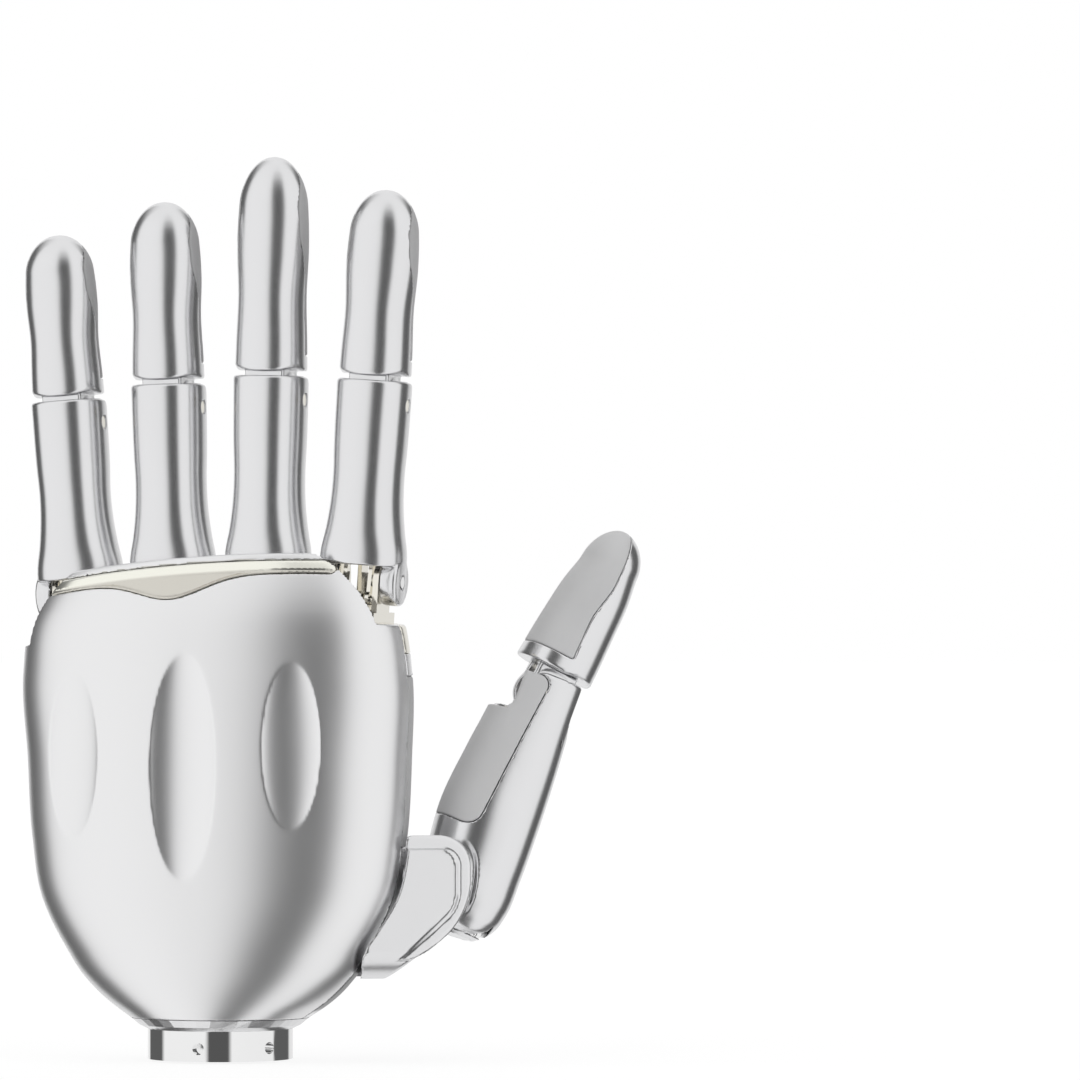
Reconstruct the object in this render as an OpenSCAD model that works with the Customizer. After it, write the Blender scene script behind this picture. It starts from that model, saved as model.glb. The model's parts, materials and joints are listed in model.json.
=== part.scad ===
// Dexterous robot hand, left: four fingers and a thumb, driven from inside the palm.
// Fingers point to +Z, the palm faces -Y and the thumb is on -X.
// The origin is the centre of the wrist flange's lower face.
// Each finger has a knuckle and a middle joint. A pull rod turns the knuckle through a slotted
// fork, and a crossed link turns the fingertip by the same angle.
// The thumb swings on an upright hinge, folds on a cross axis, and its tip follows the fold.

/* [Wrist] */
// outer radius of the wrist flange
flange_r = 15.2; // [13:0.1:18]
// height of the flange ring below the palm
flange_h = 6.3; // [5:0.1:9]
// radius of the bore that takes the arm's spigot
spigot_r = 12.5; // [9:0.1:13]
// depth of the spigot bore
spigot_depth = 4.2; // [3.5:0.1:5.4]
// radius of the radial fixing holes
fixing_r = 1.25; // [0.8:0.05:1.8]
// height of the radial fixing holes above the lower face
fixing_z = 2.7; // [2:0.1:4]
// number of radial fixing holes
fixing_count = 6; // [3:1:8]
// radius of the circle of screws that hold the flange to the palm
flange_screw_pcd_r = 9.2; // [7:0.1:10]

/* [Palm] */
// half of the palm's greatest width
palm_half = 42.6; // [38:0.1:48]
// height of the knuckle deck at its highest point
deck_z = 92.3; // [80:0.1:105]
// depth of the palm in front of the finger axes
palm_front = 16.3; // [15:0.1:22]
// depth of the palm behind the finger axes
palm_back = 20; // [17:0.1:26]
// thickness of the housing walls
wall = 2.2; // [1.8:0.1:3]
// thickness of the soft palm pad
pad_t = 1.6; // [1:0.1:2.5]
// height of the chrome band round the knuckle deck
band_h = 5.8; // [4:0.1:8]
// gap in height between the band and the palm pad
frame_strip_h = 4.7; // [3:0.1:7]
// height of the back shell's top edge
shell_top_z = 105.9; // [95:0.1:120]
// thickness of the knuckle deck
deck_t = 3; // [2:0.1:4]

/* [Fingers] */
// width of a fingertip at its pad
finger_w = 15.1; // [13:0.1:17]
// depth of a finger, back to front
finger_d = 14.8; // [13:0.1:17]
// radius of the knuckle bosses
boss_r = 5; // [4.5:0.1:5.5]
// radius of the finger axles
axle_r = 1.25; // [1:0.05:1.6]
// thickness of the soft fingertip pads
tip_pad_t = 2.6; // [1.5:0.1:3.5]
// radius of the round fork end and of the neck above it
neck_r = 5.5; // [5:0.1:5.7]

/* [Thumb] */
// distance from the thumb's fold axis to its tip joint
thumb_link_l = 48; // [42:0.1:54]
// distance from the thumb's tip joint to its tip
thumb_tip_l = 38.4; // [32:0.1:44]
// width of the thumb's tip
thumb_w = 18.8; // [16:0.1:21]
// height of the thumb's fold axis
thumb_z = 31.5; // [28:0.1:34]
// swing of the thumb about its upright hinge as stored
thumb_swing = -60; // [-68:1:-8]
// lean of the thumb's link away from the palm as stored
thumb_lean = 21; // [6:1:34]

/* [Drives] */
// width of a finger's linear drive
drive_w = 11; // [9:0.1:12]
// length of a finger's linear drive
drive_l = 26.5; // [20:0.1:30]
// radius of a pull rod
rod_r = 1.6; // [1.2:0.05:1.8]

/* [Hidden] */
$fn = 48;
// running clearance of axles, and the gap between pieces that pass each other
fit = 0.05;
gap = 0.3;

FINGERS = ["index", "middle", "ring", "little"];
// knuckle axis of each finger: sideways place, height, sideways lean
knuckle_x = [-31, -10.4, 10.3, 30.6];
knuckle_z = [deck_z + 8, deck_z + 8, deck_z + 6.6, deck_z + 4.8];
lean = [-3.9, -1, 1.5, 4.1];
// length from knuckle to middle joint, and from there to the tip
link_l = [36.8, 37.7, 37.4, 35.9];
tip_l = [44.7, 50.8, 43.3, 40];

// housing stations: height, half width, front depth, back depth, centre x, squareness front, back
base_z = 8.6;
palm_stations = [
    [base_z, 0.44 * palm_half, 0.99 * palm_front, 0.84 * palm_back, 0, 2.2, 2.1],
    [base_z + 3.5, 0.56 * palm_half, palm_front, 0.88 * palm_back, 0, 2.4, 2.1],
    [base_z + 8.4, 0.68 * palm_half, palm_front, 0.92 * palm_back, 0, 2.7, 2.2],
    [0.25 * deck_z, 0.775 * palm_half, palm_front, 0.96 * palm_back, 0, 3, 2.3],
    [0.36 * deck_z, 0.895 * palm_half, palm_front, 0.99 * palm_back, 0, 3.2, 2.4],
    [0.5 * deck_z, 0.95 * palm_half, palm_front, palm_back, 0, 3.4, 2.4],
    [0.68 * deck_z, 0.975 * palm_half, palm_front, palm_back, 0, 3.4, 2.4],
    [0.88 * deck_z, palm_half, palm_front, 0.95 * palm_back, 0, 3.4, 2.4],
    [deck_z + 1.5, 0.945 * palm_half, palm_front, 0.84 * palm_back, 0, 3.4, 2.4],
    [deck_z + 8.5, 0.81 * palm_half, palm_front, 0.7 * palm_back, 0, 3.4, 2.4],
    [shell_top_z - 1.5, 0.69 * palm_half, palm_front, 0.61 * palm_back, 0, 3.4, 2.4],
    [shell_top_z + 0.6, 0.55 * palm_half, palm_front, 0.57 * palm_back, 0, 3.4, 2.4],
];
palm_sides = 40;
// plane between the front frame and the back shell
part_y = 2;
// neck of the flange in the palm's floor, and the connector's hole
neck_out_r = spigot_r - 1.5;
neck_top_z = base_z + wall - 1.2;
connector_r = 6;
flange_head_z = spigot_depth + 1.8;
// rear face of the fingers' space: the web and the shell's rim stay behind it
web_y = 0.515 * finger_d + 0.8;
// the deck, band and pad edges share one shallow arch across the knuckles
arch_x = -13;
arch_k = 0.00205;
shell_arch_x = -20;
shell_arch_k = 0.0016;

// the crossed link's anchor on the knuckle block and its pin on the fingertip
anchor_y = 3.19;
anchor_z = -4.16;
pin_y = -2.42;
pin_z = -3.18;
anchor_r = 0.9;
// play at the link's lower eye, which takes up the linkage's small error
anchor_play = 0.27;
link_pin_r = 0.8;
link_in_w = 2.05;
link_plate_x = 2.3;
link_plate_t = 0.8;
cheek_x = 3.8;
cheek_t = 1.2;
// the pull rod's fork and the crank pin on the finger
crank_y = -4.46;
crank_z = 4.01;
crank_r = 0.7;
rod_y = -5.23;
rod_stroke = 7.71;
tine_x = 1.05;
tine_t = 0.85;
fork_y0 = -7.6;
fork_y1 = -2.9;
pedestal_z0 = -12;
pedestal_z1 = -6.6;
pedestal_y0 = -8.6;
pedestal_y1 = 6.5;
pocket_x = 2.2;
drive_z = -16;
drive_y0 = -8.6;
drive_y1 = 3.9;
ear_top = 5;
cap_z = 6.3;
window_x = 4.65;
ear_in_x = 5.3;
ear_out_x = 8.8;
split_y = -0.4;

// thumb hinge, bracket and gears
hinge_x = -16;
hinge_y = -8.2;
hinge_r = 1.5;
thumb_dx = -10.7;
thumb_dy = -31.3;
thumb_half = 10;
thumb_d = 17;
thumb_cap_z = 5.6;
thumb_tip_fold = -7;
thumb_axle_r = 2;
bowl_r = 12.8;
bowl_t = 2.3;
fin_t = 5;
recess_x = -22;
recess_z = 30.5;
recess_rx = 19.8;
recess_rz = 20;
recess_y = -4;
recess_wall = 2;
lug_z0 = 26.7;
lug_z1 = 38.5;
lug_t = 2.6;
gear_m = 0.8;
gear_teeth = 16;
pinion_teeth = 11;
gear_z = 53.6;
gear_t = 3;
motor_r = 4.5;
motor_y = hinge_y + gear_m * (gear_teeth + pinion_teeth) / 2;

silver = [0.78, 0.78, 0.79];
chrome = [0.86, 0.84, 0.8];
champagne = [0.8, 0.77, 0.7];
rubber = [0.6, 0.6, 0.6];
dark = [0.16, 0.16, 0.17];
board_green = [0.1, 0.3, 0.2];
brass = [0.75, 0.62, 0.35];

FINGER_NODES = [
    "proximal_link", "distal_shell", "distal_pad", "coupler_link", "pull_rod",
    "knuckle_block", "tip_axle", "linear_drive",
];

// ---- shape helpers ----

function pow_sign(v, e) = sign(v) * pow(abs(v), e);

// one ring of a loft, round the station's superellipse
function ring(s, count) = [
    for (i = [0:count - 1])
        let (t = 360 * i / count, q = sin(t), e = 2 / (q < 0 ? s[5] : s[6]))
        [s[4] + s[1] * pow_sign(cos(t), e), (q < 0 ? s[2] : s[3]) * pow_sign(q, e), s[0]]
];

function shrink(stations, d) = [
    for (s = stations) [s[0], s[1] - d, s[2] - d, s[3] - d, s[4], s[5], s[6]]
];

module loft(stations, count) {
    last = len(stations) - 1;
    sides = [
        for (k = [0:last - 1], i = [0:count - 1])
            let (j = (i + 1) % count, a = k * count, b = a + count)
            each [[a + i, b + j, a + j], [a + i, b + i, b + j]]
    ];
    bottom = [for (i = [0:count - 1]) i];
    top = [for (i = [count - 1:-1:0]) last * count + i];
    polyhedron([for (s = stations) each ring(s, count)], concat([bottom, top], sides));
}

// a flat outline in Y and Z, extruded along X from x0 to x1
module along_x(x0, x1) {
    translate([x0, 0, 0]) rotate([90, 0, 90]) linear_extrude(x1 - x0) children();
}

// a flat outline in X and Z, extruded along Y from y0 to y1
module along_y(y0, y1) {
    translate([0, y1, 0]) rotate([90, 0, 0]) linear_extrude(y1 - y0) children();
}

module box(low, high) {
    translate(low) cube(high - low);
}

module pin_x(r, x0, x1, y, z) {
    translate([x0, y, z]) rotate([0, 90, 0]) cylinder(r = r, h = x1 - x0);
}

module both_sides() {
    children();
    mirror([1, 0, 0]) children();
}

module in_finger(i) {
    translate([knuckle_x[i], 0, knuckle_z[i]]) rotate([0, lean[i], 0]) children();
}

module in_fingertip(i) {
    in_finger(i) translate([0, 0, link_l[i]]) children();
}

// the frame that swings with the thumb's hinge
module in_hinge() {
    translate([hinge_x, hinge_y, 0]) rotate([0, 0, thumb_swing]) children();
}

// the bracket's frame, with its origin on the thumb's fold axis
module in_bracket() {
    in_hinge() translate([thumb_dx, thumb_dy, thumb_z]) children();
}

// the thumb link's frame: +Y is its back and +Z runs to its tip
module in_thumb() {
    in_bracket() rotate([thumb_lean, 0, 0]) rotate([0, 0, 180]) children();
}

module in_thumb_tip() {
    in_thumb() translate([0, 0, thumb_link_l]) rotate([thumb_tip_fold, 0, 0]) children();
}

// ---- fingers, each in the frame of its knuckle axis ----

function link_stations(l) = [
    [0, ear_out_x, 0.485 * finger_d, 0.515 * finger_d, 0, 2.8, 2.5],
    [6, ear_out_x, 0.49 * finger_d, 0.515 * finger_d, 0, 2.8, 2.5],
    [10.5, ear_out_x - 0.75, 0.49 * finger_d, 0.51 * finger_d, 0, 2.7, 2.4],
    [15.5, 0.494 * finger_w, 0.485 * finger_d, 0.5 * finger_d, 0, 2.6, 2.4],
    [0.6 * l, 0.48 * finger_w, 0.47 * finger_d, 0.49 * finger_d, 0, 2.6, 2.4],
    [l - 9.7, 0.492 * finger_w, 0.49 * finger_d, 0.505 * finger_d, 0, 2.6, 2.4],
    [l + ear_top, 0.507 * finger_w, 0.49 * finger_d, 0.51 * finger_d, 0, 2.6, 2.4],
];

module proximal_link(l) {
    color(silver) {
        difference() {
            union() {
                loft(link_stations(l), 24);
                both_sides() pin_x(boss_r, ear_in_x, ear_out_x, 0, 0);
            }
            // hollow, wide round the knuckle block and narrower above
            box([-window_x, -5.8, -1], [window_x, 5.9, l + 2 * ear_top]);
            pin_x(boss_r + 0.6, -ear_in_x, ear_in_x, 0, 0);
            // arch over the knuckle at the front
            along_y(-finger_d, 0) {
                translate([-ear_in_x - 0.2, -1]) square([2 * ear_in_x + 0.4, 4.3]);
                translate([0, 3.3]) circle(ear_in_x + 0.2);
            }
            // below the bosses
            along_x(-2 * ear_out_x, 2 * ear_out_x) difference() {
                translate([-finger_d, -1]) square([2 * finger_d, 4.2]);
                circle(boss_r);
            }
            // window over the middle joint, and its set-back ears
            box([-window_x, -finger_d, l - 9.7], [window_x, 0, l + 2 * ear_top]);
            box([-finger_w, -finger_d, l - 9.7], [finger_w, -boss_r, l + 2 * ear_top]);
            along_x(-finger_w, finger_w) difference() {
                translate([-finger_d, l]) square([finger_d, 2 * ear_top]);
                translate([0, l]) circle(boss_r);
            }
            pin_x(axle_r + fit, -finger_w, finger_w, 0, 0);
            pin_x(axle_r + fit / 5, -finger_w, finger_w, 0, l);
        }
        // lug and crank pin that the pull rod's fork works
        along_x(-tine_x + 0.1, tine_x - 0.1) {
            translate([-6.4, crank_z]) square([6.4 + crank_y + 1, 8.2]);
            translate([crank_y, crank_z]) circle(1);
        }
        pin_x(crank_r, -tine_x - tine_t, tine_x + tine_t, crank_y, crank_z);
    }
}

// fingertip stations above the cap, for a tip of length l, width w and depth d
function tip_stations(l, w, d, z0) = let (h = l - z0) [
    [z0, 0.487 * w, 0.485 * d, 0.49 * d, 0, 2.5, 2.4],
    [z0 + 0.12 * h, 0.48 * w, 0.47 * d, 0.485 * d, 0, 2.5, 2.4],
    [z0 + 0.34 * h, 0.465 * w, 0.44 * d, 0.47 * d, 0, 2.4, 2.3],
    [z0 + 0.58 * h, 0.498 * w, 0.385 * d, 0.445 * d, 0, 2.3, 2.2],
    [z0 + 0.74 * h, 0.49 * w, 0.32 * d, 0.4 * d, 0, 2.2, 2.1],
    [z0 + 0.87 * h, 0.41 * w, 0.245 * d, 0.325 * d, 0, 2.1, 2.1],
    [z0 + 0.955 * h, 0.27 * w, 0.155 * d, 0.21 * d, 0, 2.1, 2],
    [z0 + h, 0.06 * w, 0.04 * d, 0.05 * d, 0, 2, 2],
];

// the metal core under the pad, which stops short of the tip
function core_stations(l, w, d, z0, t) = [
    for (s = shrink(tip_stations(l, w, d, z0), t))
        [z0 + (s[0] - z0) * (1 - t / (l - z0)), max(s[1], 0.4), max(s[2], 0.4), max(s[3], 0.4), s[4], s[5], s[6]]
];

module pad_side(w, z0, y) {
    box([-w, -2 * w, z0 + 2.9], [w, y, 6 * w]);
}

module distal_shell(l, w, d, z0, leg_x, leg_t, r) {
    color(silver) {
        difference() {
            union() {
                difference() {
                    loft(tip_stations(l, w, d, z0), 24);
                    pad_side(w, z0, split_y);
                }
                loft(core_stations(l, w, d, z0, tip_pad_t + fit), 24);
            }
            // hollow for the tip's sensor leads
            translate([0, 0, z0 + 1]) cylinder(r = 1.6, h = 0.42 * l);
        }
        difference() {
            union() {
                both_sides() along_x(leg_x, leg_x + leg_t) {
                    circle(r);
                    translate([-r + 0.7, 0]) square([2 * r - 1.2, z0]);
                }
                box([-leg_x - leg_t, -r + 0.7, 3], [leg_x + leg_t, r - 0.5, z0]);
            }
            pin_x(axle_r + fit, -w, w, 0, 0);
            pin_x(link_pin_r + fit, -w, w, pin_y, pin_z);
        }
    }
}

module distal_pad(l, w, d, z0) {
    color(rubber) difference() {
        intersection() {
            loft(tip_stations(l, w, d, z0), 24);
            pad_side(w, z0 + fit, split_y - fit);
        }
        loft(core_stations(l, w, d, z0, tip_pad_t), 24);
    }
}

// crossed link from the knuckle block's anchor to the fingertip's pin
module coupler_link(l, pin_x1, fold) {
    top_y = pin_y * cos(fold) - pin_z * sin(fold);
    top_z = l + pin_y * sin(fold) + pin_z * cos(fold);
    dy = anchor_y - top_y;
    dz = top_z - anchor_z;
    length = norm([dy, dz]);
    color(chrome) translate([0, top_y, top_z]) rotate([atan2(dy, dz), 0, 0]) {
        box([-link_in_w, -1, -length + 11.5], [link_in_w, 1, 0]);
        pin_x(1.6, -link_in_w, link_in_w, 0, 0);
        pin_x(link_pin_r, -pin_x1, pin_x1, 0, 0);
        box([-link_plate_x - link_plate_t, -1, -length + 11], [link_plate_x + link_plate_t, 1, -length + 14]);
        both_sides() difference() {
            union() {
                box([link_plate_x, -1, -length], [link_plate_x + link_plate_t, 1, -length + 13]);
                pin_x(2, link_plate_x, link_plate_x + link_plate_t, 0, -length);
            }
            pin_x(anchor_r + anchor_play, 0, 2 * link_plate_x, 0, -length);
        }
    }
}

module pull_rod() {
    color(chrome) {
        both_sides() difference() {
            box([tine_x, fork_y0, crank_z - 2.5], [tine_x + tine_t, fork_y1, crank_z + 1.6]);
            along_x(0, 2 * tine_x + tine_t) {
                translate([-6.15, crank_z - crank_r - gap]) square([6.15 + crank_y, 2 * (crank_r + gap)]);
                translate([-6.15, crank_z]) circle(crank_r + gap);
                translate([crank_y + 0.05, crank_z]) circle(crank_r + gap);
            }
        }
        box([-tine_x - tine_t, fork_y0, -3], [tine_x + tine_t, fork_y1, crank_z - 2.5]);
        translate([0, rod_y, drive_z - 16]) cylinder(r = rod_r, h = 13.5 - drive_z);
    }
}

module knuckle_block() {
    color(chrome) {
        both_sides() difference() {
            along_x(cheek_x, cheek_x + cheek_t) {
                circle(boss_r - 0.4);
                translate([-boss_r + 0.4, pedestal_z0 + 2]) square([2 * boss_r - 0.8, -pedestal_z0 - 2]);
            }
            pin_x(axle_r + fit / 5, 0, 2 * cheek_x, 0, 0);
        }
        both_sides() pin_x(anchor_r, link_plate_x + 0.05, cheek_x + 0.1, anchor_y, anchor_z);
        difference() {
            box([-cheek_x - cheek_t, pedestal_y0, pedestal_z0], [cheek_x + cheek_t, pedestal_y1, pedestal_z1]);
            box([-pocket_x, pedestal_y0 - 1, pedestal_z0 - 1], [pocket_x, fork_y1 + gap, 0]);
        }
    }
}

// axle of the middle joint, with the wide roller between the fork's legs
module tip_axle(half, roller_half, roller_r) {
    color(chrome) {
        pin_x(axle_r, -half, half, 0, 0);
        pin_x(roller_r, -roller_half, roller_half, 0, 0);
    }
}

module linear_drive() {
    color(dark) difference() {
        union() {
            box([-drive_w / 2, drive_y0, drive_z - drive_l], [drive_w / 2, drive_y1, drive_z]);
            translate([0, rod_y, drive_z - 1]) cylinder(r = 3.2, h = 2.2);
        }
        translate([0, rod_y, drive_z - 16 - rod_stroke - 1]) cylinder(r = rod_r + fit, h = 60);
    }
}

module knuckle_axles() {
    color(chrome) for (i = [0:3]) in_finger(i) both_sides() pin_x(axle_r, cheek_x - 0.2, ear_out_x + 0.1, 0, 0);
}

// ---- palm ----

function arch(x) = -arch_k * pow(x - arch_x, 2);
function shell_arch(x) = -shell_arch_k * pow(x - shell_arch_x, 2);

// region of the front view under the knuckle arch and z, down to z1
module under_arch(z, z1) {
    w = palm_half + 5;
    polygon(concat([[-w, z1]], [for (k = [0:16]) let (x = w * (k / 8 - 1)) [x, z + arch(x)]], [[w, z1]]));
}

module under_shell_arch(z, z1) {
    w = palm_half + 5;
    polygon(concat([[-w, z1]], [for (k = [0:16]) let (x = w * (k / 8 - 1)) [x, z + shell_arch(x)]], [[w, z1]]));
}

// edge of the thumb recess, grown by d
module recess_outline(d) {
    n = 32;
    polygon([
        for (k = [0:n - 1])
            let (t = 360 * k / n, e = 2 / (sin(t) < 0 ? 2.7 : 2.1))
            [recess_x + (recess_rx + d) * pow_sign(cos(t), e), recess_z + (recess_rz + d) * pow_sign(sin(t), e)]
    ]);
}

// front view of the soft pad
module pad_outline(d) {
    difference() {
        under_arch(deck_z - band_h - frame_strip_h + d, base_z + 3.2 - d);
        recess_outline(2.6 - d);
        translate([recess_x - 2 * recess_rx, 0]) square([2 * recess_rx, recess_z]);
    }
}

module palm_loft(d) {
    loft(shrink(palm_stations, d), palm_sides);
}

module wrist_flange() {
    color(chrome) difference() {
        union() {
            cylinder(r = flange_r, h = flange_h, $fn = 96);
            cylinder(r = neck_out_r, h = neck_top_z);
        }
        translate([0, 0, -1]) cylinder(r = spigot_r, h = spigot_depth + 1, $fn = 96);
        cylinder(r = connector_r, h = 3 * flange_h);
        for (k = [0:fixing_count - 1])
            rotate([0, 0, 360 * k / fixing_count + 90]) translate([0, 0, fixing_z]) rotate([0, 90, 0])
                cylinder(r = fixing_r, h = 2 * flange_r, $fn = 24);
        for (k = [0:3])
            rotate([0, 0, 90 * k + 45]) translate([flange_screw_pcd_r, 0, 0]) {
                cylinder(r = 1.05, h = 3 * flange_h, $fn = 24);
                cylinder(r = 2, h = flange_head_z, $fn = 24);
            }
    }
}

module flange_screws() {
    color(chrome) for (k = [0:3]) rotate([0, 0, 90 * k + 45]) translate([flange_screw_pcd_r, 0, 0]) difference() {
        union() {
            translate([0, 0, flange_head_z]) cylinder(r = 1, h = base_z + wall - flange_head_z - 0.1, $fn = 24);
            translate([0, 0, flange_head_z - 1.6]) cylinder(r = 1.8, h = 1.6, $fn = 24);
        }
        translate([0, 0, flange_head_z - 2]) cylinder(r = 0.9, h = 1.4, $fn = 6);
    }
}

module base_cap() {
    low = palm_stations[0];
    color(silver) difference() {
        loft([
            [flange_h, flange_r, flange_r, flange_r, 0, 2, 2],
            [flange_h + 0.8, 0.5 * (flange_r + low[1]), 0.5 * (flange_r + low[2]) - 0.1, 0.5 * (flange_r + low[3]), 0, 2, 2],
            [base_z, low[1], low[2], low[3], 0, low[5], low[6]],
        ], palm_sides);
        translate([0, 0, flange_h - 1]) cylinder(r = neck_out_r + fit, h = base_z);
    }
}

// holes of the housing's floor: the flange's neck, its screws and the connector
module floor_holes() {
    translate([0, 0, base_z - 1]) cylinder(r = neck_out_r + fit, h = neck_top_z + fit - base_z + 1);
    translate([0, 0, base_z]) cylinder(r = connector_r + fit, h = 2 * wall);
    for (k = [0:3])
        rotate([0, 0, 90 * k + 45]) translate([flange_screw_pcd_r, 0, base_z]) cylinder(r = 1 + fit / 5, h = 2 * wall, $fn = 24);
}

module palm_frame() {
    floor_z = base_z + wall;
    color(silver) {
        difference() {
            intersection() {
                palm_loft(0);
                along_y(-2 * palm_front, part_y) under_arch(deck_z - deck_t, base_z);
            }
            // hollow under the top plate
            intersection() {
                palm_loft(wall + pad_t);
                along_y(-2 * palm_front, 2 * palm_front) difference() {
                    under_arch(deck_z - deck_t - 3.5, floor_z);
                    recess_outline(recess_wall);
                }
            }
            // the space behind the recess wall
            intersection() {
                palm_loft(wall);
                along_y(recess_y + recess_wall, 2 * palm_front) under_arch(deck_z - deck_t - 3.5, floor_z);
            }
            // seat of the soft pad
            difference() {
                along_y(-2 * palm_front, part_y + 1) pad_outline(fit);
                palm_loft(pad_t);
            }
            // seat of the knuckle band's skirt
            difference() {
                along_y(-2 * palm_front, part_y + 1) difference() {
                    under_arch(deck_z + 1, base_z);
                    under_arch(deck_z - band_h, base_z - 1);
                }
                palm_loft(wall);
            }
            // thumb recess
            along_y(-2 * palm_front, recess_y) recess_outline(0);
            for (i = [0:3]) in_finger(i) {
                box([-cheek_x - cheek_t - fit, pedestal_y0 - fit, pedestal_z0], [cheek_x + cheek_t + fit, pedestal_y1 + fit, 0]);
                translate([0, rod_y, drive_z - 8]) cylinder(r = rod_r + gap, h = 20);
                translate([0, rod_y, drive_z - 1]) cylinder(r = 3.2 + fit, h = 2.2 + fit);
                box([-drive_w / 2 - fit, drive_y0 - fit, drive_z - drive_l - fit], [drive_w / 2 + fit, drive_y1 + fit, drive_z + fit]);
            }
            floor_holes();
            translate([hinge_x, hinge_y, recess_z]) cylinder(r = hinge_r + fit, h = 40);
        }
        // lugs that hold the thumb's hinge shaft
        for (z = [lug_z0, lug_z1]) translate([0, 0, z]) difference() {
            union() {
                translate([hinge_x, hinge_y, 0]) cylinder(r = 2.7, h = lug_t);
                box([hinge_x - 2.7, hinge_y, 0], [hinge_x + 2.7, recess_y + 0.5, lug_t]);
            }
            translate([hinge_x, hinge_y, -1]) cylinder(r = hinge_r + fit, h = lug_t + 2);
        }
    }
}

module palm_pad() {
    color(rubber) difference() {
        intersection() {
            palm_loft(0);
            along_y(-2 * palm_front, part_y - fit) pad_outline(0);
        }
        palm_loft(pad_t - fit);
    }
}

// front view of the inlay along the back shell's top edge
module inlay_outline(d) {
    x0 = -29;
    x1 = 34;
    n = 20;
    xs = [for (k = [0:n]) x0 - d + (x1 - x0 + 2 * d) * k / n];
    upper = [for (x = xs) [x, shell_top_z - 0.7 + d + shell_arch(x)]];
    lower = [
        for (k = [n - 1:-1:1])
            let (x = xs[k], u = 2 * k / n - 1)
            [x, shell_top_z - 1.6 - d - 6.3 * pow(1 - u * u, 1.5) + shell_arch(x)]
    ];
    polygon(concat(upper, lower));
}

// one shallow oval groove of the back shell
module groove(x, z, half_w, half_h, y) {
    translate([x, y + 4.4, z]) scale([half_w / 0.66, 6, half_h / 0.66]) sphere(1, $fn = 24);
}

module back_shell() {
    color(silver) difference() {
        intersection() {
            palm_loft(0);
            along_y(part_y + fit, 2 * palm_back) under_shell_arch(shell_top_z, base_z);
        }
        intersection() {
            palm_loft(wall);
            along_y(-palm_back, 2 * palm_back) under_shell_arch(shell_top_z + 5, base_z + wall);
        }
        difference() {
            along_y(part_y, 2 * palm_back) inlay_outline(fit);
            palm_loft(1);
        }
        // clear of the fingers above the deck
        along_y(-palm_back, web_y) difference() {
            translate([-2 * palm_half, 0]) square([4 * palm_half, 2 * shell_top_z]);
            under_arch(deck_z, -1);
        }
        groove(2, 0.666 * deck_z, 7.15, 23.5, palm_back);
        groove(-21, 0.714 * deck_z, 6, 17.3, 0.9 * palm_back);
        groove(27, 0.69 * deck_z, 6, 17.3, 0.83 * palm_back);
        floor_holes();
    }
}

module back_inlay() {
    color(champagne) difference() {
        intersection() {
            palm_loft(0);
            along_y(web_y + fit, 2 * palm_back) inlay_outline(0);
        }
        palm_loft(1 - fit);
    }
}

module knuckle_band() {
    color(champagne) difference() {
        union() {
            // skirt and front of the deck
            intersection() {
                palm_loft(0);
                along_y(-2 * palm_front, part_y - fit) difference() {
                    under_arch(deck_z, base_z);
                    under_arch(deck_z - band_h + fit, base_z - 1);
                }
            }
            // rear of the deck
            intersection() {
                palm_loft(wall + fit);
                along_y(0, web_y + 1.6) difference() {
                    under_arch(deck_z, base_z);
                    under_arch(deck_z - deck_t + fit, base_z - 1);
                }
            }
            // web behind the knuckles
            intersection() {
                palm_loft(wall + fit);
                along_y(web_y, web_y + 1.6) difference() {
                    under_arch(deck_z + 11.3, base_z);
                    under_arch(deck_z - deck_t + fit, base_z - 1);
                }
            }
        }
        intersection() {
            palm_loft(wall - fit);
            along_y(-2 * palm_front, part_y + 1) under_arch(deck_z - deck_t + fit, 0);
        }
        for (i = [0:3]) in_finger(i)
            box([-cheek_x - cheek_t - fit, pedestal_y0 - fit, pedestal_z0 - 3], [cheek_x + cheek_t + fit, pedestal_y1 + fit, 0]);
        for (k = [0:2]) translate([screw_x(k), -3, 0.5 * deck_z]) cylinder(r = 1.05, h = deck_z);
    }
}

function screw_x(k) = (knuckle_x[k] + knuckle_x[k + 1]) / 2;

// dome-headed screws that hold the deck down between the fingers
module knuckle_screws() {
    color(chrome) for (k = [0:2]) {
        z = deck_z + arch(screw_x(k));
        translate([screw_x(k), -3, z]) difference() {
            union() {
                translate([0, 0, 0.4 - deck_t]) cylinder(r = 1, h = deck_t + 0.5, $fn = 24);
                rotate_extrude($fn = 32) intersection() {
                    translate([0, 0.35]) scale([1, 1.15]) circle(2.5);
                    translate([0, 0.4]) square([3, 3.2]);
                }
            }
            translate([0, 0, 2]) cylinder(r = 1.1, h = 3, $fn = 6);
        }
    }
}

// upright plate that carries the drives and the control board
module chassis() {
    floor_z = base_z + wall;
    plate_y = drive_y1;
    color(silver) difference() {
        union() {
            box([-33, plate_y, gear_z + gear_t + 0.8], [33, plate_y + 2, deck_z - 12.5]);
            box([-8, plate_y, floor_z], [14, plate_y + 2, 58]);
            box([-8, plate_y, 30], [26, plate_y + 2, 58]);
            box([-6, -8, floor_z], [14, 9, floor_z + 2]);
            for (x = [-4, 22], z = [34, 68]) translate([x, plate_y + 4, z]) rotate([90, 0, 0]) cylinder(r = 2, h = 3);
        }
        translate([0, 0, floor_z - 1]) cylinder(r = connector_r + gap, h = 2 * wall);
    }
}

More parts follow.
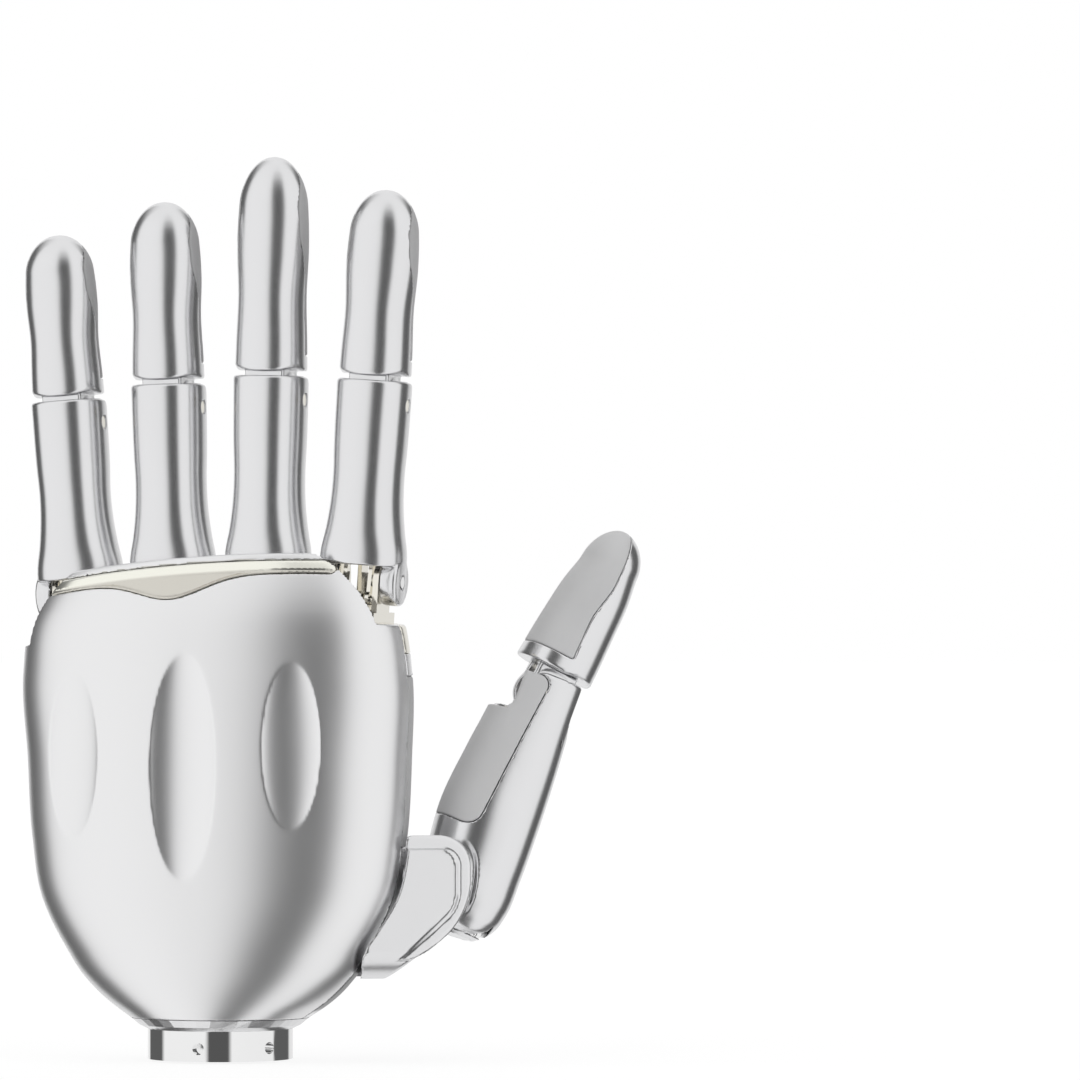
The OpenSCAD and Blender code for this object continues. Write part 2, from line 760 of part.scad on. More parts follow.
module control_board() {
    y = drive_y1 + 4;
    color(board_green) box([-7, y, 31], [25, y + 1.4, 72]);
    color(dark) {
        box([2, y + 1.3, 40], [14, y + 2.6, 52]);
        box([-4, y + 1.3, 58], [4, y + 2.4, 66]);
        box([12, y + 1.3, 33], [22, y + 3.4, 37]);
    }
}

module wrist_connector() {
    color(dark) difference() {
        translate([0, 0, spigot_depth + 0.4]) cylinder(r = connector_r - fit, h = base_z + wall + 2 - spigot_depth);
        for (k = [0:5]) rotate([0, 0, 60 * k]) translate([3.6, 0, spigot_depth]) cylinder(r = 0.55, h = 2.5, $fn = 16);
    }
}

// ---- thumb ----

function thumb_stations() = [
    [-8, 0.45 * thumb_half, 3.2, 3.8, 0, 2.1, 2.1],
    [-6.8, 0.7 * thumb_half, 5.1, 5.8, 0, 2.2, 2.2],
    [-3.6, 0.92 * thumb_half, 7.4, 8, 0, 2.4, 2.3],
    [0, thumb_half, 9.1, 8.9, 0, 2.5, 2.4],
    [0.2 * thumb_link_l, 1.02 * thumb_half, 11.1, 9.3, 0, 2.5, 2.4],
    [0.4 * thumb_link_l, 1.02 * thumb_half, 12, 9.2, 0, 2.5, 2.4],
    [0.68 * thumb_link_l, 0.92 * thumb_half, 10.8, 8.7, 0, 2.5, 2.4],
    [thumb_link_l - 6, 0.885 * thumb_half, 9.5, 8.1, 0, 2.5, 2.4],
    [thumb_link_l + 4.2, 0.9 * thumb_half, 8.8, 7.9, 0, 2.5, 2.4],
];

thumb_in_x = 6.4;
thumb_leg_x = 3.2;
thumb_leg_t = 2;

// outline of the cover plate in the link's palm side
module cover_outline(d) {
    w = 0.66 * thumb_half + d;
    z0 = 0.26 * thumb_link_l - d;
    z1 = 0.86 * thumb_link_l + d;
    translate([-w, z0 + 1.6]) square([2 * w, z1 - z0 - 3.2]);
    translate([-w + 1.6, z0]) square([2 * w - 3.2, z1 - z0]);
    for (x = [-w + 1.6, w - 1.6], z = [z0 + 1.6, z1 - 1.6]) translate([x, z]) circle(1.6);
}

module thumb_link() {
    l = thumb_link_l;
    neck = thumb_leg_x + thumb_leg_t + gap;
    color(silver) difference() {
        loft(thumb_stations(), 28);
        // hollow
        box([-thumb_in_x, -5.9, -5], [thumb_in_x, 6.2, l - 8]);
        box([-neck, -5.9, l - 9], [neck, 6.2, l + 12]);
        // room for the crossed link's lower eye
        along_x(-link_plate_x - link_plate_t - gap, link_plate_x + link_plate_t + gap) intersection() {
            circle(norm([anchor_y, anchor_z]) + 2.2);
            translate([-5.9, -10]) square([12.1, 10]);
        }
        // slot for the bracket's post
        box([-1.6, -3.6, -12], [1.6, 7, -4]);
        // cut at the back over the tip joint, and set-back ears
        along_y(-1, 2 * thumb_half) {
            translate([-neck, l - 3]) square([2 * neck, 20]);
            translate([0, l - 3]) circle(neck);
        }
        // palm side, open for the tip's fold
        box([-neck, -12, l - 6.5], [neck, 0, l + 12]);
        box([-12, -12, l - 6.5], [12, -boss_r, l + 12]);
        along_x(-12, 12) difference() {
            translate([-12, l]) square([24, 12]);
            translate([0, l]) circle(boss_r - 0.2);
            translate([0, l]) square([boss_r + 3, 3.3]);
        }
        pin_x(thumb_axle_r + fit, -12, 12, 0, 0);
        pin_x(axle_r + fit / 5, -12, 12, 0, l);
        // seat of the cover and holes of its screws
        along_y(-14, -8.2) cover_outline(fit);
        for (z = thumb_screw_z()) translate([0, 0, z]) rotate([-90, 0, 0]) cylinder(r = 1.25, h = 12, $fn = 24);
    }
}

function thumb_screw_z() = [0.08 * thumb_link_l + 5, 0.72 * thumb_link_l];

module thumb_cover() {
    color(rubber) difference() {
        intersection() {
            loft(thumb_stations(), 28);
            along_y(-14, -8.2 - fit) cover_outline(0);
        }
        box([-2, -14, 0.82 * thumb_link_l], [2, -9, thumb_link_l]);
    }
}

module thumb_screws() {
    color(chrome) for (z = thumb_screw_z()) translate([0, 4, z]) rotate([-90, 0, 0]) difference() {
        cylinder(r = 1.2, h = 4.1, $fn = 24);
        translate([0, 0, 3.4]) cylinder(r = 0.6, h = 2, $fn = 6);
    }
}

module thumb_bracket() {
    x0 = thumb_half + 2 * gap;
    hx = -thumb_dx;
    hy = -thumb_dy;
    bz = lug_z0 + lug_t + gap - thumb_z;
    bh = lug_z1 - lug_z0 - lug_t - 2 * gap;
    color(silver) {
        difference() {
            union() {
                // thick arm that runs back to the hinge
                along_x(x0, x0 + fin_t) difference() {
                    union() {
                        circle(bowl_r, $fn = 96);
                        translate([0, 2]) square([bowl_r, 13]);
                        translate([bowl_r, 15 - 6]) circle(6);
                        translate([0, bz]) square([hy, bh]);
                    }
                    translate([-bowl_r - 1, bowl_r - 5]) square([bowl_r - 3, 12]);
                }
                translate([hx, hy, bz]) cylinder(r = 3.4, h = bh);
            }
            pin_x(thumb_axle_r + fit / 5, 0, 2 * bowl_r, 0, 0);
            translate([hx, hy, -bowl_r]) cylinder(r = hinge_r + fit / 5, h = 2 * bowl_r);
        }
        // thin outer arm
        along_x(-x0 - 2, -x0) difference() {
            union() {
                circle(4.8);
                intersection() {
                    circle(bowl_r, $fn = 96);
                    translate([0, -20]) square(20);
                }
                translate([0, -1]) square([13.6, 9.4]);
                translate([6.8, 8.4]) circle(6.8);
            }
            circle(thumb_axle_r + fit / 5);
        }
        // bowl behind the link's round end, open away from the palm
        along_x(-x0 - 1, x0 + 1) difference() {
            circle(bowl_r, $fn = 96);
            circle(bowl_r - bowl_t, $fn = 96);
            translate([-20, 1]) square([40, 30]);
            translate([-20, -20]) square([17.6, 30]);
        }
        // post that anchors the crossed link
        difference() {
            along_x(-1.2, 1.2) rotate(thumb_lean) mirror([1, 0]) {
                translate([anchor_y, anchor_z]) circle(1.9);
                translate([anchor_y - 1.9, -bowl_r + 1.4]) square([3.8, bowl_r - 1.4 + anchor_z]);
            }
        }
        rotate([thumb_lean, 0, 0]) pin_x(anchor_r, -link_plate_x - 0.7, link_plate_x + 0.7, -anchor_y, anchor_z);
    }
}

module thumb_fold_axles() {
    x1 = thumb_half + 2 * gap;
    color(chrome) {
        pin_x(thumb_axle_r, -x1 - 2.2, -thumb_in_x - 0.3, 0, 0);
        pin_x(thumb_axle_r, thumb_in_x + 0.3, x1 + fin_t + 0.2, 0, 0);
    }
}

// involute half angle of a tooth at radius r, in degrees
function involute(a) = tan(a) * 180 / PI - a;
function tooth_half(teeth, r) =
    let (rp = gear_m * teeth / 2, rb = rp * cos(22))
    90 / teeth - 2.2 * 0.12 / rp * 18 + involute(22) - involute(acos(min(1, rb / r)));

module spur_gear(teeth, h) {
    rp = gear_m * teeth / 2;
    rb = rp * cos(22);
    root = rp - 1.15 * gear_m;
    tip = rp + 0.8 * gear_m;
    radii = [for (k = [0:4]) max(rb, root) + (tip - max(rb, root)) * k / 4];
    linear_extrude(h) polygon([
        for (k = [0:teeth - 1]) each concat(
            [let (a = 360 * k / teeth - tooth_half(teeth, rb)) root * [cos(a), sin(a)]],
            [for (r = radii) let (a = 360 * k / teeth - tooth_half(teeth, r)) r * [cos(a), sin(a)]],
            [for (q = [4:-1:0]) let (r = radii[q], a = 360 * k / teeth + tooth_half(teeth, r)) r * [cos(a), sin(a)]],
            [let (a = 360 * k / teeth + tooth_half(teeth, rb)) root * [cos(a), sin(a)]]
        )
    ]);
}

// upright shaft of the swing, with its sector gear above the recess
module thumb_hinge_shaft() {
    color(chrome) translate([hinge_x, hinge_y, 0]) {
        translate([0, 0, lug_z0 - 0.6]) cylinder(r = hinge_r, h = gear_z + gear_t + 1 - lug_z0);
        translate([0, 0, gear_z]) cylinder(r = 3, h = gear_t);
        intersection() {
            translate([0, 0, gear_z]) rotate([0, 0, 90]) spur_gear(gear_teeth, gear_t);
            translate([0, 0, gear_z - 1]) linear_extrude(gear_t + 2)
                polygon([[0, 0], for (a = [-65:13:65]) 20 * [sin(a), cos(a)]]);
        }
    }
}

module thumb_pinion() {
    color(brass) translate([hinge_x, motor_y, gear_z]) difference() {
        rotate([0, 0, -90 + 180 / pinion_teeth]) spur_gear(pinion_teeth, gear_t);
        translate([0, 0, -1]) cylinder(r = 1 + fit, h = gear_t + 2);
    }
}

module thumb_swing_motor() {
    color(dark) translate([hinge_x, motor_y, 0]) {
        translate([0, 0, 22]) cylinder(r = motor_r, h = gear_z - 22.4);
        translate([0, 0, 30]) cylinder(r = 1, h = gear_z + gear_t - 30);
    }
}

// drive of the fold, inside the link beside the crossed link
module thumb_fold_motor() {
    x0 = link_plate_x + link_plate_t + gap;
    color(dark) {
        box([x0, -5.6, 12], [thumb_in_x, 3, 36]);
        translate([(x0 + thumb_in_x) / 2, -1, 5]) cylinder(r = 1.1, h = 8);
    }
}

// ---- nodes ----

wrist_flange();
flange_screws();
base_cap();
palm_frame();
palm_pad();
back_shell();
back_inlay();
knuckle_band();
knuckle_screws();
knuckle_axles();
chassis();
control_board();
wrist_connector();

for (i = [0:3]) {
    f = FINGERS[i];
    in_finger(i) proximal_link(link_l[i]);
    in_fingertip(i) distal_shell(tip_l[i], finger_w, finger_d, cap_z, 2.6, 1.65, neck_r);
    in_fingertip(i) distal_pad(tip_l[i], finger_w, finger_d, cap_z);
    in_finger(i) coupler_link(link_l[i], 4.2, 0);
    in_finger(i) pull_rod();
    in_finger(i) knuckle_block();
    in_fingertip(i) tip_axle(0.49 * finger_w, 2.5, 2.1);
    in_finger(i) linear_drive();
}

in_bracket() thumb_bracket();
in_thumb() thumb_link();
in_thumb() thumb_cover();
in_thumb() thumb_screws();
in_thumb_tip() distal_shell(thumb_tip_l, thumb_w, thumb_d, thumb_cap_z, thumb_leg_x, thumb_leg_t, boss_r);  // thumb_distal_shell
in_thumb_tip() distal_pad(thumb_tip_l, thumb_w, thumb_d, thumb_cap_z);  // thumb_distal_pad
in_bracket() thumb_fold_axles();
in_thumb() translate([0, 0, thumb_link_l]) tip_axle(0.86 * thumb_half, 3, 2.1);  // thumb_tip_axle
in_thumb() coupler_link(thumb_link_l, 5.1, thumb_tip_fold);  // thumb_coupler
thumb_hinge_shaft();
thumb_pinion();
thumb_swing_motor();
in_thumb() thumb_fold_motor();
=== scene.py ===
"""Looks of a dexterous robot hand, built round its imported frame."""

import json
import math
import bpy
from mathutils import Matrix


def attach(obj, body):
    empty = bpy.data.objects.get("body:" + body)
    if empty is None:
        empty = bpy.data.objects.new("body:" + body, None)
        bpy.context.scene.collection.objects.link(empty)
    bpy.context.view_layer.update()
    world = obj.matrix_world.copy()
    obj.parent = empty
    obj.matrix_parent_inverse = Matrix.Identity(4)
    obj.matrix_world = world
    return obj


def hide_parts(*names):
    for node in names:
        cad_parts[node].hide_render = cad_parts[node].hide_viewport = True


bl_info = {
    "name": "Dexterous Robot Hand",
    "version": (1, 0, 0),
    "blender": (4, 5, 0),
    "location": "View3D > Sidebar > Robot Hand",
    "description": "Smooth housings, finger links, soft pads, screws and metal finishes of a jointed hand",
    "category": "Object",
}

import bpy
import numpy as np
from bpy.props import FloatProperty, FloatVectorProperty, IntProperty, PointerProperty
from mathutils import Matrix, Vector

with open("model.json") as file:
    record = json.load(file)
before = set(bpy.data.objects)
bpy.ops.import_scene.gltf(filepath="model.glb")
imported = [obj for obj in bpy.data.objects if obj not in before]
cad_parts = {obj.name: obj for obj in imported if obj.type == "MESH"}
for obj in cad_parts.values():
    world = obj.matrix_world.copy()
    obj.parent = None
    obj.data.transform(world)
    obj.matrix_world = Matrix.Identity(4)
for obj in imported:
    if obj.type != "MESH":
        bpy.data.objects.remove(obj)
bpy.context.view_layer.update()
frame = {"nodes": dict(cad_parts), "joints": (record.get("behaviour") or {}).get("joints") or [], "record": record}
JOINTS = {joint["name"]: joint for joint in frame["joints"]}
FINGERS = ("index", "middle", "ring", "little")
MM = 0.001


# ---- sizes and colours that a user would change ----


def length_mm(label, text, value, low, high):
    return FloatProperty(name=label, description=text, default=value, min=low, max=high)


def colour(label, text, value):
    return FloatVectorProperty(
        name=label, description=text, subtype="COLOR", size=3, min=0, max=1, default=value
    )


class HandSizes(bpy.types.PropertyGroup):
    palm_half: length_mm("Palm Half Width", "Half of the palm's greatest width, in mm", 42.6, 38, 48)
    palm_front: length_mm("Palm Front", "Depth of the palm in front of the finger axes, in mm", 16.3, 12, 22)
    palm_back: length_mm("Palm Back", "Depth of the palm behind the finger axes, in mm", 20, 15, 26)
    deck_z: length_mm("Deck Height", "Height of the knuckle deck, in mm", 92.3, 80, 105)
    shell_top: length_mm("Shell Top", "Height of the back shell's top edge, in mm", 105.9, 95, 120)
    finger_w: length_mm("Finger Width", "Width of a fingertip, in mm", 15.1, 13, 17)
    finger_d: length_mm("Finger Depth", "Depth of a finger, in mm", 14.8, 13, 17)
    thumb_half: length_mm("Thumb Half Width", "Half of the thumb link's width, in mm", 10, 8, 12)
    thumb_w: length_mm("Thumb Tip Width", "Width of the thumb's tip, in mm", 18.8, 16, 21)
    edge: length_mm("Edge Radius", "Rounding of the housings' edges, in mm", 0.5, 0.1, 1.5)
    wave_height: length_mm("Wave Height", "Height of the palm pad's waves, in mm", 0.55, 0, 1)
    mesh_step: length_mm("Mesh Step", "Size of the fingers' faces, in mm", 0.36, 0.2, 1)
    screw_sides: IntProperty(name="Screw Sides", description="Sides of a screw head", default=40, min=12, max=96)


class HandColours(bpy.types.PropertyGroup):
    satin: colour("Satin Silver", "Blasted aluminium of the housings", (0.87, 0.87, 0.88))
    gloss: colour("Gloss Silver", "Polished silver of the back shell", (0.94, 0.94, 0.945))
    pad: colour("Pad Gray", "Soft pads of the palm and fingertips", (0.53, 0.53, 0.535))
    thumb_pad: colour("Thumb Pad Gray", "Soft cover and tip pad of the thumb", (0.74, 0.74, 0.745))
    champagne: colour("Champagne", "Warm chrome of the knuckles", (0.91, 0.88, 0.80))
    chrome: colour("Chrome", "Neutral chrome of the flange and screws", (0.92, 0.92, 0.92))
    dark: colour("Dark", "Dark plastic of the drives", (0.05, 0.05, 0.055))
    floor: colour("Floor", "Pale floor", (0.9, 0.9, 0.9))


def sizes():
    return bpy.context.scene.hand_sizes


def colours():
    return bpy.context.scene.hand_colours


# ---- shader maths ----


class Shade:
    """Builds one material's nodes; numbers and sockets mix freely in its expressions."""

    def __init__(self, tree):
        self.tree = tree

    def node(self, kind, out=0, settings=None, **inputs):
        made = self.tree.nodes.new(kind)
        for key, value in (settings or {}).items():
            if key == "stops":
                ramp = made.color_ramp
                ramp.elements.remove(ramp.elements[1])
                for number, (place, tone) in enumerate(value):
                    element = ramp.elements.new(place) if number else ramp.elements[0]
                    element.position = place
                    element.color = (tone, tone, tone, 1)
            else:
                setattr(made, key, value)
        for key, value in inputs.items():
            name = key.replace("_", " ").strip()
            socket = made.inputs[int(name[1:])] if name[0] == "i" and name[1:].isdigit() else made.inputs[name]
            self.feed(socket, value)
        return Value(self, made.outputs[out])

    def feed(self, socket, value):
        if isinstance(value, Value):
            self.tree.links.new(value.socket, socket)
        else:
            socket.default_value = value


class Value:
    """A shader socket with Python's operators."""

    def __init__(self, shade, socket):
        self.shade, self.socket = shade, socket

    def math(self, operation, a, b=0.0):
        return self.shade.node("ShaderNodeMath", settings={"operation": operation}, i0=a, i1=b)

    def __add__(self, other):
        return self.math("ADD", self, other)

    def __sub__(self, other):
        return self.math("SUBTRACT", self, other)

    def __rsub__(self, other):
        return self.math("SUBTRACT", other, self)

    def __mul__(self, other):
        return self.math("MULTIPLY", self, other)

    __radd__, __rmul__ = __add__, __mul__


def new_material(name):
    mat = bpy.data.materials.new(name)
    mat.use_nodes = True
    mat.node_tree.nodes.clear()
    shade = Shade(mat.node_tree)
    output = mat.node_tree.nodes.new("ShaderNodeOutputMaterial")
    bsdf = mat.node_tree.nodes.new("ShaderNodeBsdfPrincipled")
    mat.node_tree.links.new(bsdf.outputs[0], output.inputs[0])
    where = shade.node("ShaderNodeTexCoord", out=3)
    return mat, shade, bsdf, where


def blend_colour(shade, factor, a, b):
    mixed = shade.node("ShaderNodeMix", out=2, settings={"data_type": "RGBA"}, i0=factor)
    made = mixed.socket.node
    for socket, value in ((made.inputs[6], a), (made.inputs[7], b)):
        shade.feed(socket, value if isinstance(value, Value) else (*value, 1))
    return mixed


def noise(shade, where, scale, detail=2.0, rough=0.5):
    return shade.node("ShaderNodeTexNoise", Vector=where, Scale=scale, Detail=detail, Roughness=rough)


def in_mm(shade, where):
    """The place on the object as three values in millimetres."""
    split = shade.tree.nodes.new("ShaderNodeSeparateXYZ")
    shade.tree.links.new(where.socket, split.inputs[0])
    return [Value(shade, split.outputs[k]) * 1000.0 for k in range(3)]


def bump(shade, height, strength, distance):
    return shade.node("ShaderNodeBump", Height=height, Strength=strength, Distance=distance)


def ramp(shade, value, start, end):
    """A value that rises from 0 to 1 between start and end."""
    return shade.node("ShaderNodeMapRange", Value=value, From_Min=start, From_Max=end)


def smooth_ramp(shade, value, start, end):
    """The same, eased at both ends."""
    settings = {"interpolation_type": "SMOOTHSTEP"}
    return shade.node("ShaderNodeMapRange", settings=settings, Value=value, From_Min=start, From_Max=end)


def toned(tone, factor):
    """The colour made lighter or darker by a factor."""
    return tuple(min(1, v * factor) for v in tone)


def blasted_grain(shade, bsdf, where, strength):
    grain = noise(shade, where, 9000.0, 1.0)
    shade.feed(bsdf.inputs["Normal"], bump(shade, grain, strength, 0.00004))


def metal(name, tone, rough, cloud=0.04, grain=0.0):
    """A metal with faint clouding in its tone and roughness, and blasted grain where asked."""
    mat, shade, bsdf, where = new_material(name)
    soft = noise(shade, where, 45.0, 3.0)
    fine = noise(shade, where, 900.0, 2.0)
    shade.feed(bsdf.inputs["Base Color"], blend_colour(shade, soft, toned(tone, 1 - cloud), tone))
    shade.feed(bsdf.inputs["Roughness"], soft * 0.03 + fine * 0.02 + (rough - 0.025))
    bsdf.inputs["Metallic"].default_value = 1.0
    if grain:
        blasted_grain(shade, bsdf, where, grain)
    return mat


def moulded_skin(shade, bsdf, where):
    """The fine texture that a mould leaves on rubber."""
    fine = noise(shade, where, 5200.0, 2.0, 0.6)
    shade.feed(bsdf.inputs["Roughness"], fine * 0.08 + 0.52)
    shade.feed(bsdf.inputs["Normal"], bump(shade, fine, 0.25, 0.00005))


def soft_pad(name, tone):
    """Matte rubber with a fine moulded skin."""
    mat, shade, bsdf, where = new_material(name)
    cloud = noise(shade, where, 60.0, 3.0)
    base = blend_colour(shade, cloud, toned(tone, 0.95), toned(tone, 1.04))
    shade.feed(bsdf.inputs["Base Color"], base)
    moulded_skin(shade, bsdf, where)
    bsdf.inputs["Sheen Weight"].default_value = 0.06
    return mat


def plastic(name, tone, rough):
    mat, shade, bsdf, where = new_material(name)
    grain = noise(shade, where, 3500.0, 2.0)
    base = blend_colour(shade, noise(shade, where, 90.0), tone, toned(tone, 1.25))
    shade.feed(bsdf.inputs["Base Color"], base)
    shade.feed(bsdf.inputs["Roughness"], grain * 0.1 + (rough - 0.05))
    shade.feed(bsdf.inputs["Normal"], bump(shade, grain, 0.2, 0.00004))
    return mat


def inlay_chrome(name, tone):
    """Warm chrome with a painted highlight along its upper edge and painted shade in the hollow below."""
    mat, shade, bsdf, where = new_material(name)
    x, y, z = in_mm(shade, where)
    off = x - SHELL_ARCH_X
    below = sizes().shell_top - INLAY_EDGE - off * off * SHELL_ARCH - z
    edge_highlight_to_dish_shade = smooth_ramp(shade, below, -0.2, 0.5)
    # painted highlight (tone lightened by 1.13) at the upper edge, painted shade (tone darkened to 0.8) in the
    # hollow
    base = blend_colour(shade, edge_highlight_to_dish_shade, toned(tone, 1.13), toned(tone, 0.8))
    shade.feed(bsdf.inputs["Base Color"], base)
    shade.feed(bsdf.inputs["Roughness"], edge_highlight_to_dish_shade * 0.1 + noise(shade, where, 700.0) * 0.02 + 0.14)
    bsdf.inputs["Metallic"].default_value = 1.0
    return mat


def recessed_silver(name, tone, rough):
    """Satin silver with painted shade on the floor of the thumb's recess."""
    mat, shade, bsdf, where = new_material(name)
    x, y, z = in_mm(shade, where)
    u, v = (x - RECESS[0]) * (1 / RECESS[2]), (z - RECESS[1]) * (1 / RECESS[3])
    inside = smooth_ramp(shade, u * u + v * v, 1.12, 0.95)
    deep = smooth_ramp(shade, y, -13.5, -5.5)
    shadow = inside * deep * (noise(shade, where, 60.0) * 0.15 + 0.85)
    # painted shade: the tone darkened to 0.36 deep inside the recess
    shade.feed(bsdf.inputs["Base Color"], blend_colour(shade, shadow, tone, toned(tone, 0.36)))
    shade.feed(bsdf.inputs["Roughness"], shadow * 0.2 + noise(shade, where, 900.0) * 0.03 + rough)
    bsdf.inputs["Metallic"].default_value = 1.0
    blasted_grain(shade, bsdf, where, 0.12)
    return mat


def palm_skin(name, tone):
    """The pad's rubber with painted shade, a faint dark band along the foot of every wave."""
    mat, shade, bsdf, where = new_material(name)
    x, y, z = in_mm(shade, where)
    dx, dz = x - WAVE_X, WAVE_Z - z
    square = dx * dx + dz * dz
    turn = dz.math("DIVIDE", dz * (2 / WAVE_STEP), square)
    part = turn.math("FRACT", turn)
    wave_foot_shade = smooth_ramp(shade, part, 0.62, 0.86) - ramp(shade, part, 0.9, 1.0)
    fade = ramp(shade, square, 400.0, 850.0) * ramp(shade, square, 3900.0, 2200.0)
    side = ramp(shade, turn, 0.9, 1.7) * ramp(shade, turn, 9.4, 8.0)
    cloud = noise(shade, where, 60.0, 3.0)
    base = blend_colour(shade, cloud, toned(tone, 0.96), toned(tone, 1.03))
    # painted shade in the crease at the foot of each wave, faded towards the pad's ends
    base = blend_colour(shade, wave_foot_shade * fade * side * 0.42, base, toned(tone, 0.5))
    shade.feed(bsdf.inputs["Base Color"], base)
    moulded_skin(shade, bsdf, where)
    return mat


_made = {}


def material(name):
    """The finish of that name, made once."""
    if name not in _made:
        c = colours()
        recipe = {
            "satin silver": lambda: metal("satin silver", tuple(c.satin), 0.24, 0.04, 0.12),
            "gloss silver": lambda: metal("gloss silver", tuple(c.gloss), 0.33, 0.02, 0.0),
            "champagne chrome": lambda: metal("champagne chrome", tuple(c.champagne), 0.09, 0.02),
            "bright chrome": lambda: metal("bright chrome", tuple(c.chrome), 0.06, 0.02),
            "soft pad": lambda: soft_pad("soft pad", tuple(c.pad)),
            "thumb pad": lambda: soft_pad("thumb pad", tuple(c.thumb_pad)),
            "inlay chrome": lambda: inlay_chrome("inlay chrome", tuple(c.champagne)),
            "palm housing": lambda: recessed_silver("palm housing", tuple(c.satin), 0.22),
            "palm pad": lambda: palm_skin("palm pad", tuple(c.pad)),
            "dark plastic": lambda: plastic("dark plastic", tuple(c.dark), 0.45),
            "board": lambda: plastic("board", (0.03, 0.12, 0.06), 0.4),
            "brass": lambda: metal("brass", (0.75, 0.58, 0.3), 0.22, 0.05),
        }
        _made[name] = recipe[name]()
    return _made[name]


# ---- shapes as distance fields, in millimetres ----


def dense(rows, count=240):
    """Stations of a loft, joined by a smooth curve."""
    rows = np.array(rows, float)
    z = rows[:, 0]
    slope = np.gradient(rows[:, 1:], z, axis=0)
    at = np.linspace(z[0], z[-1], count)
    k = np.clip(np.searchsorted(z, at) - 1, 0, len(z) - 2)
    h = (z[k + 1] - z[k])[:, None]
    t = ((at - z[k])[:, None]) / h
    p0, p1, m0, m1 = rows[k, 1:], rows[k + 1, 1:], slope[k] * h, slope[k + 1] * h
    curve = (2 * t**3 - 3 * t**2 + 1) * p0 + (t**3 - 2 * t**2 + t) * m0
    curve = curve + (3 * t**2 - 2 * t**3) * p1 + (t**3 - t**2) * m1
    return at, curve


def super_round(u, v, half_u, half_v, n):
    """Distance to a superellipse."""
    a, b = np.abs(u) / half_u + 1e-6, np.abs(v) / half_v + 1e-6
    g = (a**n + b**n) ** (1 / n)
    steep = g ** (1 - n) * np.sqrt((a ** (n - 1) / half_u) ** 2 + (b ** (n - 1) / half_v) ** 2)
    return (g - 1) / np.maximum(steep, 1e-3)


def loft(rows, round_r=0.4):
    """A body whose section is a superellipse with its own front and back.
    A row is height, half width, front depth, back depth, centre x, squareness front, squareness back."""
    at, curve = dense(rows)

    def field(x, y, z):
        half, front, back, cx, nf, nb = (np.interp(z, at, curve[:, k]) for k in range(6))
        n = np.where(y < 0, nf, nb)
        depth = np.where(y < 0, front, back)
        d = np.maximum(super_round(x - cx, y, half, depth, n), -np.minimum(half, depth))
        return both(both(d, at[0] - z, round_r), z - at[-1], round_r)

    return field


def both(a, b, r=0.0):
    """Where a and b overlap, with an edge rounded by r."""
    if r <= 0:
        return np.maximum(a, b)
    return np.minimum(-r, np.maximum(a, b)) + np.hypot(np.maximum(r + a, 0), np.maximum(r + b, 0))


def join(a, b, r=0.0):
    """a with b, with a fillet of radius r."""
    return -both(-a, -b, r)


def cut(a, b, r=0.0):
    """a without b, with an edge rounded by r."""
    return both(a, -b, r)


def block(x, y, z, low, high, r=0.0):
    qx, qy, qz = (
        np.abs(p - (a + b) / 2) - (b - a) / 2 + r for p, a, b in zip((x, y, z), low, high)
    )
    outside = np.sqrt(np.maximum(qx, 0) ** 2 + np.maximum(qy, 0) ** 2 + np.maximum(qz, 0) ** 2)
    return outside + np.minimum(np.maximum(qx, np.maximum(qy, qz)), 0) - r


def disc_x(x, y, z, radius, x0, x1, cy, cz, r=0.0):
    """A cylinder along X."""
    return both(np.hypot(y - cy, z - cz) - radius, np.abs(x - (x0 + x1) / 2) - (x1 - x0) / 2, r)


